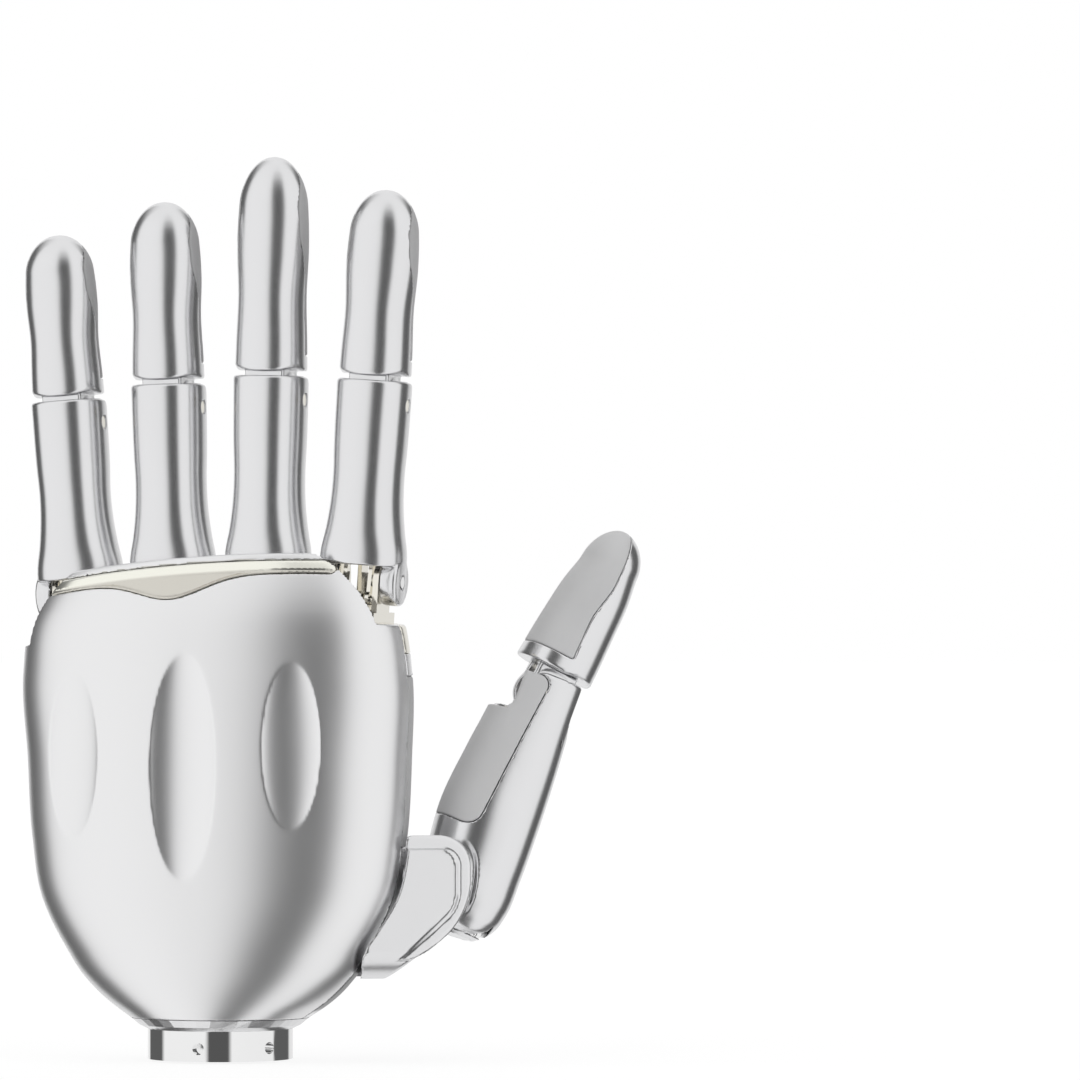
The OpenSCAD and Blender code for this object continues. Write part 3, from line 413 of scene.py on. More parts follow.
def skin(field, low, high, step):
    """Corners and faces of the surface where the field is zero, with every corner moved onto it."""
    axes = [np.arange(a, b + step, step) for a, b in zip(low, high)]
    d = field(*np.meshgrid(*axes, indexing="ij"))
    inside = d < 0
    cells = tuple(n - 1 for n in d.shape)
    count = np.zeros(cells, np.int8)
    for i in (0, 1):
        for j in (0, 1):
            for k in (0, 1):
                count += inside[i : i + cells[0], j : j + cells[1], k : k + cells[2]]
    cell = np.argwhere((count > 0) & (count < 8))
    number = np.full(cells, -1, np.int64)
    number[tuple(cell.T)] = np.arange(len(cell))
    total, hits = np.zeros((len(cell), 3)), np.zeros(len(cell))
    for axis in range(3):
        for j in (0, 1):
            for k in (0, 1):
                start = np.zeros(3, int)
                start[(axis + 1) % 3], start[(axis + 2) % 3] = j, k
                end = start.copy()
                end[axis] = 1
                a, b = d[tuple((cell + start).T)], d[tuple((cell + end).T)]
                crosses = (a < 0) != (b < 0)
                t = np.where(crosses, a / np.where(crosses, a - b, 1), 0)
                spot = (cell + start).astype(float)
                spot[:, axis] += t
                total[crosses] += spot[crosses]
                hits[crosses] += 1
    corners = total / hits[:, None] * step + np.array(low)
    faces = []
    for axis in range(3):
        b, c = (axis + 1) % 3, (axis + 2) % 3
        first = [slice(None)] * 3
        second = [slice(None)] * 3
        first[axis], second[axis] = slice(0, -1), slice(1, None)
        here, there = inside[tuple(first)], inside[tuple(second)]
        for flip, mask in ((False, here & ~there), (True, ~here & there)):
            at = np.argwhere(mask)
            keep = (at[:, b] > 0) & (at[:, c] > 0) & (at[:, b] < cells[b]) & (at[:, c] < cells[c])
            at = at[keep]
            quad = []
            for db, dc in ((-1, -1), (0, -1), (0, 0), (-1, 0)):
                q = at.copy()
                q[:, b] += db
                q[:, c] += dc
                quad.append(number[tuple(q.T)])
            quad = np.stack(quad[::-1] if flip else quad, 1)
            faces.append(quad)
    faces = np.concatenate(faces)

    def slope(p, e):
        return np.stack(
            [
                field(p[:, 0] + e * (k == 0), p[:, 1] + e * (k == 1), p[:, 2] + e * (k == 2))
                - field(p[:, 0] - e * (k == 0), p[:, 1] - e * (k == 1), p[:, 2] - e * (k == 2))
                for k in range(3)
            ],
            1,
        ) / (2 * e)

    for _ in range(4):
        lean = slope(corners, 0.02)
        value = field(*corners.T)[:, None]
        move = -value * lean / np.maximum((lean**2).sum(1, keepdims=True), 0.05)
        far = np.linalg.norm(move, axis=1, keepdims=True)
        corners = corners + move * np.minimum(1, 0.4 * step / np.maximum(far, 1e-9))
    normals = slope(corners, 0.06)
    normals /= np.maximum(np.linalg.norm(normals, axis=1, keepdims=True), 1e-9)
    return corners, faces, normals


def piece(name, corners, faces, normals, place, finish):
    """A smooth mesh object from corners in millimetres in the frame that place gives."""
    mesh = bpy.data.meshes.new(name)
    mesh.vertices.add(len(corners))
    turned = corners * MM @ np.array(place.to_3x3()).T + np.array(place.translation)
    mesh.vertices.foreach_set("co", turned.astype(np.float32).ravel())
    mesh.loops.add(faces.size)
    mesh.loops.foreach_set("vertex_index", faces.astype(np.int32).ravel())
    mesh.polygons.add(len(faces))
    mesh.polygons.foreach_set("loop_start", np.arange(0, faces.size, 4, dtype=np.int32))
    mesh.polygons.foreach_set("use_smooth", np.ones(len(faces), bool))
    mesh.update()
    mesh.validate()
    mesh.normals_split_custom_set_from_vertices((normals @ np.array(place.to_3x3()).T).tolist())
    obj = bpy.data.objects.new(name, mesh)
    bpy.context.scene.collection.objects.link(obj)
    mesh.materials.append(material(finish))
    return obj


def grow(name, field, low, high, step, place, finish, body, nodes):
    """A piece from its field, riding on its body in place of its nodes."""
    obj = piece(name, *skin(field, low, high, step), place, finish)
    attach(obj, body)
    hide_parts(*nodes)
    return obj


# ---- places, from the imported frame's joints ----


def axes_place(origin, x_axis, z_axis):
    x, z = Vector(x_axis).normalized(), Vector(z_axis).normalized()
    y = z.cross(x)
    place = Matrix((x, y, z)).transposed().to_4x4()
    place.translation = Vector(origin)
    return place


def finger_place(finger):
    """The finger's frame at its knuckle axis, and its link's length in millimetres."""
    knuckle, middle = JOINTS[f"{finger}_flexion"], JOINTS[f"{finger}_tip_flexion"]
    origin, end = Vector(knuckle["pos_m"]), Vector(middle["pos_m"])
    return axes_place(origin, knuckle["axis"], end - origin), (end - origin).length / MM


def tip_place(finger):
    place, length = finger_place(finger)
    return place @ Matrix.Translation((0, 0, length * MM))


def tip_length(finger, place):
    """From the joint to the tip, along the finger."""
    node = frame["nodes"][f"{finger}_distal_shell"]
    back = place.inverted()
    return max((back @ v.co).z for v in node.data.vertices) / MM


THUMB_TIP_TURN = math.radians(-7)
THUMB_LEAN = 21


def thumb_place():
    fold, tip = JOINTS["thumb_fold"], JOINTS["thumb_tip_fold"]
    origin, end = Vector(fold["pos_m"]), Vector(tip["pos_m"])
    return axes_place(origin, -Vector(fold["axis"]), end - origin), (end - origin).length / MM


def bracket_place():
    fold = JOINTS["thumb_fold"]
    return axes_place(fold["pos_m"], fold["axis"], (0, 0, 1))


# ---- fingers ----

BOSS_R = 5.0  # round end of a link at its axle
EAR_OUT = 8.8
EAR_IN = 5.3
WINDOW = 4.65  # half width of the opening for the crossed link
CAP_Z = 6.3  # from the middle joint's axle to the rim of the tip
SPLIT_Y = -0.4  # where the tip's pad meets its shell
TIP_LEGS = (2.6, 1.65, 5.5)  # inner face, thickness and round end of the tip's legs


def link_rows(l, w, d):
    return [
        [-5, EAR_OUT, 0.485 * d, 0.515 * d, 0, 2.8, 2.5],
        [0, EAR_OUT, 0.485 * d, 0.515 * d, 0, 2.8, 2.5],
        [6, EAR_OUT, 0.49 * d, 0.515 * d, 0, 2.8, 2.5],
        [10.5, EAR_OUT - 0.75, 0.49 * d, 0.51 * d, 0, 2.7, 2.4],
        [15.5, 0.494 * w, 0.485 * d, 0.5 * d, 0, 2.6, 2.4],
        [0.6 * l, 0.48 * w, 0.47 * d, 0.49 * d, 0, 2.6, 2.4],
        [l - 9.7, 0.492 * w, 0.49 * d, 0.505 * d, 0, 2.6, 2.4],
        [l + 5, 0.507 * w, 0.49 * d, 0.51 * d, 0, 2.6, 2.4],
    ]


def proximal_field(l, w, d, r):
    body = loft(link_rows(l, w, d), 0.7)

    def field(x, y, z):
        side = np.abs(x)
        outer = body(x, y, z)
        shape = cut(outer, both(z - 3.2, BOSS_R - np.hypot(y, z)), r)
        shape = join(shape, disc_x(side, y, z, BOSS_R, EAR_IN, EAR_OUT, 0, 0, 0.7), 0.2)
        hollow = both(block(x, y, z, (-WINDOW, -5.8, -9), (WINDOW, 5.9, l + 12)), outer + 1.1, 0.3)
        shape = cut(shape, hollow, 0.3)
        shape = cut(shape, disc_x(x, y, z, BOSS_R + 0.6, -EAR_IN, EAR_IN, 0, 0))
        half = EAR_IN + 0.2
        arch = np.minimum(np.maximum(side - half, z - 3.3), np.hypot(x, z - 3.3) - half)
        shape = cut(shape, both(arch, y), 0.6)
        shape = cut(shape, both(both(side - WINDOW, l - 9.7 - z), y), r)
        shape = cut(shape, both(l - 9.7 - z, y + BOSS_R, 1.2), r)
        shape = cut(shape, both(both(y, l - z), BOSS_R - np.hypot(y, z - l)), r)
        pins = np.minimum(np.hypot(y, z), np.hypot(y, z - l)) - 1.4
        return cut(shape, both(pins, 5.2 - side), 0.15)

    return field


def tip_rows(l, w, d, z0):
    h = l - z0
    rows = [
        [z0, 0.487 * w, 0.485 * d, 0.49 * d, 0, 2.5, 2.4],
        [z0 + 0.12 * h, 0.48 * w, 0.47 * d, 0.485 * d, 0, 2.5, 2.4],
        [z0 + 0.34 * h, 0.465 * w, 0.44 * d, 0.47 * d, 0, 2.4, 2.3],
        [z0 + 0.58 * h, 0.498 * w, 0.385 * d, 0.445 * d, 0, 2.3, 2.2],
        [z0 + 0.74 * h, 0.49 * w, 0.32 * d, 0.4 * d, 0, 2.2, 2.1],
    ]
    last = rows[-1]
    for t in (0.25, 0.45, 0.62, 0.76, 0.86, 0.93, 0.97, 0.99, 0.998):
        k = math.sqrt(1 - t * t)
        half, front, back = last[1] * k, last[2] * k**1.1, last[3] * k**1.1
        rows.append([last[0] + t * 0.26 * h, half, front, back, 0, 2.2 - 0.2 * t, 2.1 - 0.1 * t])
    return rows


def tip_split(z, l, z0, y0):
    """Where the pad meets the shell: it climbs onto the sides towards the tip."""
    t = np.clip((z - z0) / (l - z0), 0, 1)
    rise = np.clip((t - 0.36) / 0.3, 0, 1)
    if y0 > 0:
        return y0 + 1.5 * rise**2 * (3 - 2 * rise) - 1.2 * t
    fall = np.clip((t - 0.74) / 0.26, 0, 1)
    return y0 + 3.4 * rise**2 * (3 - 2 * rise) - 6.5 * fall**2


def tip_body(l, w, d, z0):
    """The whole fingertip, with a rim that drops a little at its middle."""
    rows = tip_rows(l, w, d, z0)
    rows[0][0] -= 0.6
    body = loft(rows, 0.4)

    def field(x, y, z):
        rim = z0 - 0.35 + 0.9 * (x / (0.487 * w)) ** 2 * np.clip(y / 3, 0, 1) - z
        return both(body(x, y, z), rim, 0.7)

    return field


def tip_shell_field(l, w, d, z0, y0, leg_x, leg_t, leg_r, r):
    body = tip_body(l, w, d, z0)

    def field(x, y, z):
        side = np.abs(x)
        pad = both(y - tip_split(z, l, z0, y0), z0 + 2.9 - z, 0.6)
        shape = cut(body(x, y, z), pad, 0.2)
        neck = block(x, y, z, (-leg_x - leg_t, 0.7 - leg_r, 0), (leg_x + leg_t, leg_r - 0.5, z0 + 1), 0.5)
        foot = disc_x(x, y, z, leg_r, -leg_x - leg_t, leg_x + leg_t, 0, 0, 0.4)
        neck = join(neck, foot, 0.5)
        gap = np.minimum(np.maximum(side - leg_x, z - 3), np.maximum(np.hypot(x, z - 3) - leg_x, y - 0.5))
        neck = cut(neck, gap, 0.3)
        neck = cut(neck, np.hypot(y, z) - 1.3)
        return join(shape, neck, 0.4)

    return field


def tip_pad_field(l, w, d, z0, y0):
    body = tip_body(l, w, d, z0)

    def field(x, y, z):
        soft = both(body(x, y, z), z0 + 3.0 - z, 0.5)
        return both(soft, y - tip_split(z, l, z0, y0) + 0.06, 0.35)

    return field


# ---- palm ----

BASE_Z = 8.6  # foot of the palm, on the base cap
WALL = 2.2
PAD_T = 1.6
BAND_H = 5.8  # height of the knuckle band in front
STRIP_H = 4.7  # bare housing between the band and the pad
DECK_T = 3.0
PART_Y = 2.0  # where the front housing meets the back shell
RECESS = (-22.0, 30.5, 19.8, 20.0)  # centre x and z, half width and half height
RECESS_Y = -4.0  # floor of the recess
SHELL_ARCH, SHELL_ARCH_X = 0.0016, -20
INLAY_EDGE = 3.3  # from the shell's top to where the inlay's dish starts
WAVE_X, WAVE_Z = -24.6, 62.4  # the point that the pad's waves fan out from
WAVE_STEP = 0.004


def arch(x):
    """Rise of the knuckle deck, which falls off to both sides."""
    return -0.00205 * (x + 13) ** 2


def shell_arch(x):
    """The same for the back shell's top edge."""
    return -SHELL_ARCH * (x - SHELL_ARCH_X) ** 2


def palm_rows():
    s = sizes()
    w, f, b, deck, top = s.palm_half, s.palm_front, s.palm_back, s.deck_z, s.shell_top
    return [
        [BASE_Z, 0.44 * w, 0.99 * f, 0.84 * b, 0, 2.2, 2.1],
        [BASE_Z + 3.5, 0.56 * w, f, 0.88 * b, 0, 2.4, 2.1],
        [BASE_Z + 8.4, 0.68 * w, f, 0.92 * b, 0, 2.12, 2.2],
        [0.25 * deck, 0.775 * w, f, 0.96 * b, 0, 2.12, 2.3],
        [0.36 * deck, 0.895 * w, f, 0.99 * b, 0, 2.12, 2.4],
        [0.5 * deck, 0.95 * w, f, b, 0, 2.12, 2.4],
        [0.68 * deck, 0.975 * w, f, b, 0, 2.12, 2.4],
        [0.88 * deck, 0.988 * w, f, 0.95 * b, 0.5, 2.12, 2.4],
        [deck + 1.5, 0.933 * w, f, 0.84 * b, 0.7, 2.25, 2.4],
        [deck + 8.5, 0.84 * w, f, 0.7 * b, 0.4, 2.25, 2.4],
        [top - 1.5, 0.77 * w, f, 0.61 * b, 0, 2.25, 2.4],
        [top + 0.6, 0.69 * w, f, 0.57 * b, 0, 2.25, 2.4],
    ]


def recess_distance(x, z):
    """Distance to the outline of the thumb's recess in the front view."""
    cx, cz, half_x, half_z = RECESS
    return super_round(x - cx, z - cz, half_x, half_z, np.where(z < cz, 2.7, 2.1))


def pad_area(x, z):
    """Distance to the soft pad's outline in the front view."""
    s = sizes()
    top = z - (s.deck_z - BAND_H - STRIP_H + arch(x))
    low = BASE_Z + 3.2 - z
    left = both(x - RECESS[0], z - RECESS[1])
    around = np.minimum(recess_distance(x, z) - 2.6, left)
    return both(both(top, low, 1.5), -around, 3.0)


def palm_frame_field():
    s = sizes()
    body = loft(palm_rows(), 0.3)

    def field(x, y, z):
        outer = body(x, y, z)
        shape = both(both(outer, y - PART_Y, 0.25), z - (s.deck_z - DECK_T + arch(x)))
        shape = cut(shape, both(outer + WALL + PAD_T, BASE_Z + WALL - z))
        rib = both(recess_distance(x, z) - 2.0, y - (RECESS_Y + 2.0))
        rib = both(rib, outer)
        shape = np.minimum(shape, both(both(rib, outer + 0.2), z - 80))
        pad = both(pad_area(x, z) - 0.1, -(outer + PAD_T))
        shape = cut(shape, pad, 0.15)
        band = both(-(outer + WALL), s.deck_z - BAND_H + arch(x) - z)
        shape = cut(shape, band, 0.12)
        hollow = both(recess_distance(x, z), y - RECESS_Y, 1.5)
        return cut(shape, hollow, 0.7)

    return field


def wave(x, z):
    """Shallow ridges that fan out from a point above the thumb, as circles that touch there."""
    dx, dz = x - WAVE_X, WAVE_Z - z
    reach = np.hypot(dx, dz) + 1e-6
    turn = 2 * dz / reach**2 / WAVE_STEP
    part = turn - np.floor(turn)
    ridge = np.minimum(part / 0.78, (1 - part) / 0.22)
    fade = np.clip((reach - 19) / 10, 0, 1) * np.clip((63 - reach) / 20, 0, 1)
    side = np.clip((turn - 0.9) / 0.7, 0, 1) * np.clip((9.4 - turn) / 1.4, 0, 1)
    return ridge**2 * (3 - 2 * ridge) * fade * side * (dz > -6) * np.clip(dx / 8, 0, 1)


def palm_pad_field():
    height = sizes().wave_height
    body = loft(palm_rows(), 0.3)

    def field(x, y, z):
        outer = body(x, y, z)
        sink = height * wave(x, z) * np.clip(-pad_area(x, z) / 4, 0, 1)
        face = both(outer + sink, pad_area(x, z), 0.5)
        return both(both(face, -(outer + PAD_T - 0.05), 0.1), y - PART_Y + 0.05, 0.2)

    return field


# centre x, centre height as a share of the deck's, half width, half height and depth
GROOVES = ((2.0, 0.666, 7.15, 23.5, 1.7), (-21.0, 0.714, 6.0, 17.3, 1.3), (27.0, 0.69, 6.0, 17.3, 1.3))


def groove_depth(x, z):
    """Depth of the back shell's three long dents."""
    depth = 0.0
    for gx, gz, half_w, half_h, deep in GROOVES:
        e = ((x - gx) / half_w) ** 2 + ((z - gz * sizes().deck_z) / half_h) ** 2
        dip = 0.5 * (1 - e + np.hypot(1 - e, 0.05))
        depth = depth + deep * np.minimum(dip, 1.2) ** 0.85
    return depth


def inlay_area(x, z):
    """Distance to the inlay's outline in the back view."""
    top = sizes().shell_top - 1.5 + shell_arch(x)
    depth = 2.7 + 4.3 * np.exp(-(((x - 6) / 10) ** 2))
    middle = top - depth / 2
    ends = np.abs(x - 3.7) - 31.8
    return both(np.abs(z - middle) - depth / 2, ends, 1.2)


def back_shell_field():
    s = sizes()
    body = loft(palm_rows(), 0.3)
    web_y = 0.515 * s.finger_d + 0.8

    def field(x, y, z):
        outer = body(x, y, z)
        shape = outer + groove_depth(x, z) * 0.96
        shape = both(shape, z - (s.shell_top + shell_arch(x)), 0.5)
        shape = both(shape, -(outer + WALL), 0.3)
        shape = both(shape, PART_Y + 0.06 - y, 0.25)
        inlay = both(inlay_area(x, z) - 0.07, -(outer + 1.0))
        shape = cut(shape, inlay, 0.2)
        above = both(y - web_y, s.deck_z + arch(x) - z)
        return cut(shape, above, 0.2)

    return field


def inlay_field():
    body = loft(palm_rows(), 0.3)

    def field(x, y, z):
        outer = body(x, y, z)
        under = sizes().shell_top - INLAY_EDGE + shell_arch(x) - z
        sink = 0.45 * np.clip(under / 0.7, 0, 1) * np.clip(-(inlay_area(x, z) + 0.3) / 0.5, 0, 1)
        face = both(outer - 0.15 + sink, inlay_area(x, z), 0.4)
        return both(both(face, -(outer + 0.95)), 8.5 - y)

    return field


def band_field():
    s = sizes()
    body = loft(palm_rows(), 0.3)
    web_y = 0.515 * s.finger_d + 0.8
    posts = [np.array(finger_place(finger)[0].inverted()) for finger in FINGERS]

    def field(x, y, z):
        outer = body(x, y, z)
        deck = z - (s.deck_z + arch(x))
        skirt = both(both(outer, deck, 0.5), s.deck_z - BAND_H + 0.05 + arch(x) - z, 0.3)
        skirt = both(skirt, y - PART_Y + 0.05, 0.2)
        under_deck = s.deck_z - DECK_T + arch(x) - z
        inner = both(both(outer + WALL + 0.05, deck), under_deck)
        inner = both(inner, np.maximum(-y, y - web_y - 1.6))
        web = both(outer + WALL + 0.05, np.abs(y - web_y - 0.8) - 0.8)
        web = both(both(web, z - (s.deck_z + 11.3 + arch(x))), under_deck)
        web = both(web, np.abs(x) - 35.5, 0.6)
        shape = join(np.minimum(skirt, inner), web, 0.8)
        hollow = both(both(outer + WALL - 0.05, y - PART_Y - 1), z - (s.deck_z - DECK_T + arch(x)))
        shape = cut(shape, hollow)
        for m in posts:
            lx = (m[0, 0] * x + m[0, 1] * y + m[0, 2] * z) + m[0, 3] / MM
            lz = (m[2, 0] * x + m[2, 1] * y + m[2, 2] * z) + m[2, 3] / MM
            hole = block(lx, y, lz, (-5.05, -8.65, -15), (5.05, 6.55, 4))
            shape = cut(shape, hole, 0.3)
        return shape

    return field


# ---- thumb ----


def thumb_rows(l, half):
    return [
        [-6.4, 0.1 * half, 0.9, 0.9, 0, 2.0, 2.0],
        [-6.2, 0.36 * half, 3.2, 3.1, 0, 2.1, 2.1],
        [-5.5, 0.6 * half, 5.3, 5.0, 0, 2.1, 2.1],
        [-4.2, 0.78 * half, 6.9, 6.6, 0, 2.3, 2.2],
        [-2.2, 0.91 * half, 8.3, 8, 0, 2.4, 2.3],
        [1, half, 9.6, 8.9, 0, 2.5, 2.4],
        [0.2 * l, 1.02 * half, 11.1, 9.3, 0, 2.5, 2.4],
        [0.4 * l, 1.02 * half, 12, 9.2, 0, 2.5, 2.4],
        [0.68 * l, 0.92 * half, 10.8, 8.7, 0, 2.5, 2.4],
        [l - 6, 0.885 * half, 9.5, 8.1, 0, 2.5, 2.4],
        [l + 3.9, 0.9 * half, 8.8, 7.9, 0, 2.5, 2.4],
    ]


LEG_X = 3.2
LEG_T = 2.0
THUMB_DEPTH = 17.0
THUMB_CAP_Z = 5.6
THUMB_SPLIT_Y = 0.8


def arm_outline(y, z):
    """Distance to the outline of the yoke's outer arm, seen from the side."""
    slope = (-8.5 * (y - 3.2) - 9.4 * (z + 2.7)) / 12.67
    return both(both(0.9 - y, z - 15.6, 6.5), slope, 5.0)


def cover_area(y, z, l):
    """Distance to the soft cover's outline, seen from the link's side."""
    edge = y + 5.3 - 0.139 * (z - 19)
    low = 16.2 - 0.12 * (y + 6) - z
    return both(both(edge, low, 3.2), z - (l + 3.1), 2.6)


def cover_screws(l):
    """Heights of the two screws in the thumb link's face."""
    return 0.08 * l + 5, 0.72 * l


def thumb_link_field(l, half, r):
    body = loft(thumb_rows(l, half), 0.8)
    neck = LEG_X + LEG_T + 0.3

    def field(x, y, z):
        side = np.abs(x)
        outer = body(x, y, z)
        flank = both(side - 20, 9.5 - side)
        lean = math.radians(THUMB_LEAN)
        by, bz = -y * math.cos(lean) - z * math.sin(lean), -y * math.sin(lean) + z * math.cos(lean)
        seat = np.where(x > 0, arm_outline(by, bz) - 1.5, np.hypot(y + 1, z - 1) - 12.3)
        shape = cut(outer, both(flank, both(seat, -2.0 - z, 1.5), 0.6), 0.7)
        shape = cut(shape, block(x, y, z, (-6.4, -5.9, -5), (6.4, 6.2, l - 8)))
        shape = cut(shape, block(x, y, z, (-neck, -5.9, l - 9), (neck, 6.2, l + 12)))
        hood = both(np.minimum(np.maximum(side - neck, l - 3 - z), np.hypot(x, z - l + 3) - neck), -1 - y)
        shape = cut(shape, hood, 0.7)
        shape = cut(shape, both(both(side - neck, l - 5.2 - z), y, 0.5), r)
        shape = cut(shape, both(l - 4.6 - z, y + np.where(x < 0, 2.6, 5.9), 1.8), r)
        shape = cut(shape, both(both(y - 3, l - z), BOSS_R - 0.2 - np.hypot(y, z - l)), r)
        shape = cut(shape, both(cover_area(y, z, l) - 0.1, -(outer + 1.1)), 0.12)
        for hole_z in cover_screws(l):
            shape = cut(shape, both(np.hypot(x, z - hole_z) - 1.45, 4 - y), 0.12)
        return shape

    return field


def thumb_cover_field(l, half):
    body = loft(thumb_rows(l, half), 0.8)
    neck = LEG_X + LEG_T + 0.3

    def field(x, y, z):
        outer = body(x, y, z)
        shape = both(both(outer + 0.02, cover_area(y, z, l) + 0.05, 0.25), -(outer + 1.0))
        shape = cut(shape, both(np.abs(x) - neck - 0.6, l - 5.8 - z), 0.4)
        return cut(shape, both(l - 5.2 - z, y + np.where(x < 0, 3.2, 6.5), 1.8), 0.4)

    return field


BOWL_R = 12.8
BOWL_T = 2.3
ARM_T = 5.0
LUG_LOW, LUG_HIGH = 26.7, 38.5  # the lugs that hold the hinge shaft in the recess
LUG_T = 2.6
LUG_GAP = 0.3


def palm_solid():
    """The palm with the thumb's recess in it, as one solid."""
    body = loft(palm_rows(), 0.3)

    def field(x, y, z):
        return cut(body(x, y, z), both(recess_distance(x, z), y - RECESS_Y, 1.5))

    return field


def swept_palm(place):
    """The palm as the yoke meets it over its whole swing, in the yoke's own frame."""
    hinge = JOINTS["thumb_swing"]
    centre, axis = Vector(hinge["pos_m"]), Vector(hinge["axis"])
    solid = palm_solid()
    turns = []
    for degrees in (hinge["range_deg"][0], -20, 0, hinge["range_deg"][1]):
        turn = Matrix.Rotation(math.radians(degrees), 4, axis)
        swing = Matrix.Translation(centre) @ turn @ Matrix.Translation(-centre)
        turns.append(np.array(swing @ place))

    def field(x, y, z):
        least = 1e3
        for m in turns:
            world = [m[k, 0] * x + m[k, 1] * y + m[k, 2] * z + m[k, 3] / MM for k in range(3)]
            least = np.minimum(least, solid(*world))
        return least

    return field


def bracket_field():
    x0 = sizes().thumb_half + 0.6
    hinge = JOINTS["thumb_swing"]
    place = bracket_place()
    to_hinge = place.inverted() @ Vector(hinge["pos_m"])
    hx, hy = to_hinge.x / MM, to_hinge.y / MM
    low = LUG_LOW + LUG_T + LUG_GAP - place.translation.z / MM
    tall = LUG_HIGH - LUG_LOW - LUG_T - 2 * LUG_GAP
    palm = swept_palm(place)

    def field(x, y, z):
        ring = np.hypot(y, z)
        outline = arm_outline(y, z)
        cup = super_round(x - 1.4, np.minimum(z - 2, 0), x0 + 4.0, 17.6, 2.3)
        band = both(np.abs(z - low - tall / 2) - tall / 2, np.maximum(-y, y - hy))
        # outer arm: a plate with a raised rim round it
        rim = np.clip((outline + 3.4) / 1.2, 0, 1)
        hull = both(-(x + x0 + 1.9), cup, 1.5)
        face = hull + 1.0 - rim**2 * (3 - 2 * rim)
        outer_arm = both(both(both(outline, y - 26), face, 0.9), x + x0)
        # inner arm, which runs back to the hinge
        fin = both(both(outline + 1.2, -15.6 - z, 3), y - hy - 2.5, 6)
        fin = both(both(fin, np.abs(x - x0 - ARM_T / 2) - ARM_T / 2, 1.8), cup)
        # scoop between them, behind and under the link's round end
        scoop = both(both(cup, outline + 0.6, 1.0), both(both(z - 1, -(x + x0 + 0.4)), y - 24, 1.5))
        scoop = cut(scoop, both(cup + 3.8, y - 20.5, 2.0), 0.9)
        shape = join(join(fin, outer_arm, 1.2), scoop, 1.0)
        shape = cut(shape, palm(x, y, z) - 0.45, 0.6)
        arm = both(both(band, np.abs(x - x0 - ARM_T / 2) - ARM_T / 2, 1.0), 6.0 - y)
        knuckle = both(np.hypot(x - hx, y - hy) - 3.4, np.abs(z - low - tall / 2) - tall / 2, 0.4)
        shape = join(join(shape, arm, 1.5), knuckle, 1.0)
        inside = both(both(-(x0 - 0.02) - x, x - x0 + 0.02), ring - BOWL_R + BOWL_T)
        shape = cut(shape, inside, 0.3)
        return cut(shape, np.hypot(x - hx, y - hy) - 1.55)

    return field


# ---- turned and repeated pieces, as Geometry Nodes ----


def node_tree(name, sockets):
    """A Geometry Nodes tree with its inputs, and the values that they give."""
    tree = bpy.data.node_groups.new(name, "GeometryNodeTree")
    tree.interface.new_socket("Geometry", in_out="OUTPUT", socket_type="NodeSocketGeometry")
    tree.interface.new_socket("Geometry", in_out="INPUT", socket_type="NodeSocketGeometry")
    for label, kind in sockets.items():
        tree.interface.new_socket(label, in_out="INPUT", socket_type="NodeSocket" + kind)
    shade = Shade(tree)
    given = tree.nodes.new("NodeGroupInput")
    return tree, shade, {socket.name: Value(shade, socket) for socket in given.outputs if socket.name}


def finish_tree(tree, shade, given, part):
    """Puts the part on every point, realises it and sets its material."""
    points = shade.node("GeometryNodeMeshToPoints", Mesh=given["Geometry"])
    placed = shade.node("GeometryNodeInstanceOnPoints", Points=points, Instance=part)
    real = shade.node("GeometryNodeRealizeInstances", Geometry=placed)
    done = shade.node("GeometryNodeSetMaterial", Geometry=real, Material=given["Material"])
    shade.feed(tree.nodes.new("NodeGroupOutput").inputs[0], done)
    return tree


def screw_tree():
    """Screw heads with a six-sided socket: domes, or flatter heads where Steep is above 1."""
    sockets = dict.fromkeys(("Radius", "Height", "Socket", "Steep"), "Float")
    tree, shade, given = node_tree("screws", {**sockets, "Sides": "Int", "Material": "Material"})
    ball = shade.node("GeometryNodeMeshUVSphere", Segments=given["Sides"], Rings=24, Radius=1.0)
    split = tree.nodes.new("ShaderNodeSeparateXYZ")
    shade.feed(split.inputs[0], shade.node("GeometryNodeInputPosition"))
    x, y, z = (Value(shade, split.outputs[k]) for k in range(3))
    up = z.math("MINIMUM", z.math("MAXIMUM", z, 0.0) * given["Steep"], 1.0)
    radius, height = given["Radius"], given["Height"]
    shaped = shade.node("ShaderNodeCombineXYZ", X=x * radius, Y=y * radius, Z=up * height)
    head = shade.node("GeometryNodeSetPosition", Geometry=ball, Position=shaped)
    hexagon = shade.node("GeometryNodeMeshCylinder", Vertices=6, Radius=given["Socket"], Depth=height * 1.2)
    lift = shade.node("ShaderNodeCombineXYZ", Z=height * 1.05)
    hexagon = shade.node("GeometryNodeTransform", Geometry=hexagon, Translation=lift)
    settings = {"operation": "DIFFERENCE", "solver": "EXACT"}
    head = shade.node("GeometryNodeMeshBoolean", settings=settings, i0=head, i1=hexagon)
    return finish_tree(tree, shade, given, head)


def pin_tree():
    """Plain pins along Z."""
    sockets = {"Radius": "Float", "Length": "Float", "Sides": "Int", "Material": "Material"}
    tree, shade, given = node_tree("pins", sockets)
    sides, radius, length = given["Sides"], given["Radius"], given["Length"]
    pin = shade.node("GeometryNodeMeshCylinder", Vertices=sides, Radius=radius, Depth=length)
    return finish_tree(tree, shade, given, pin)


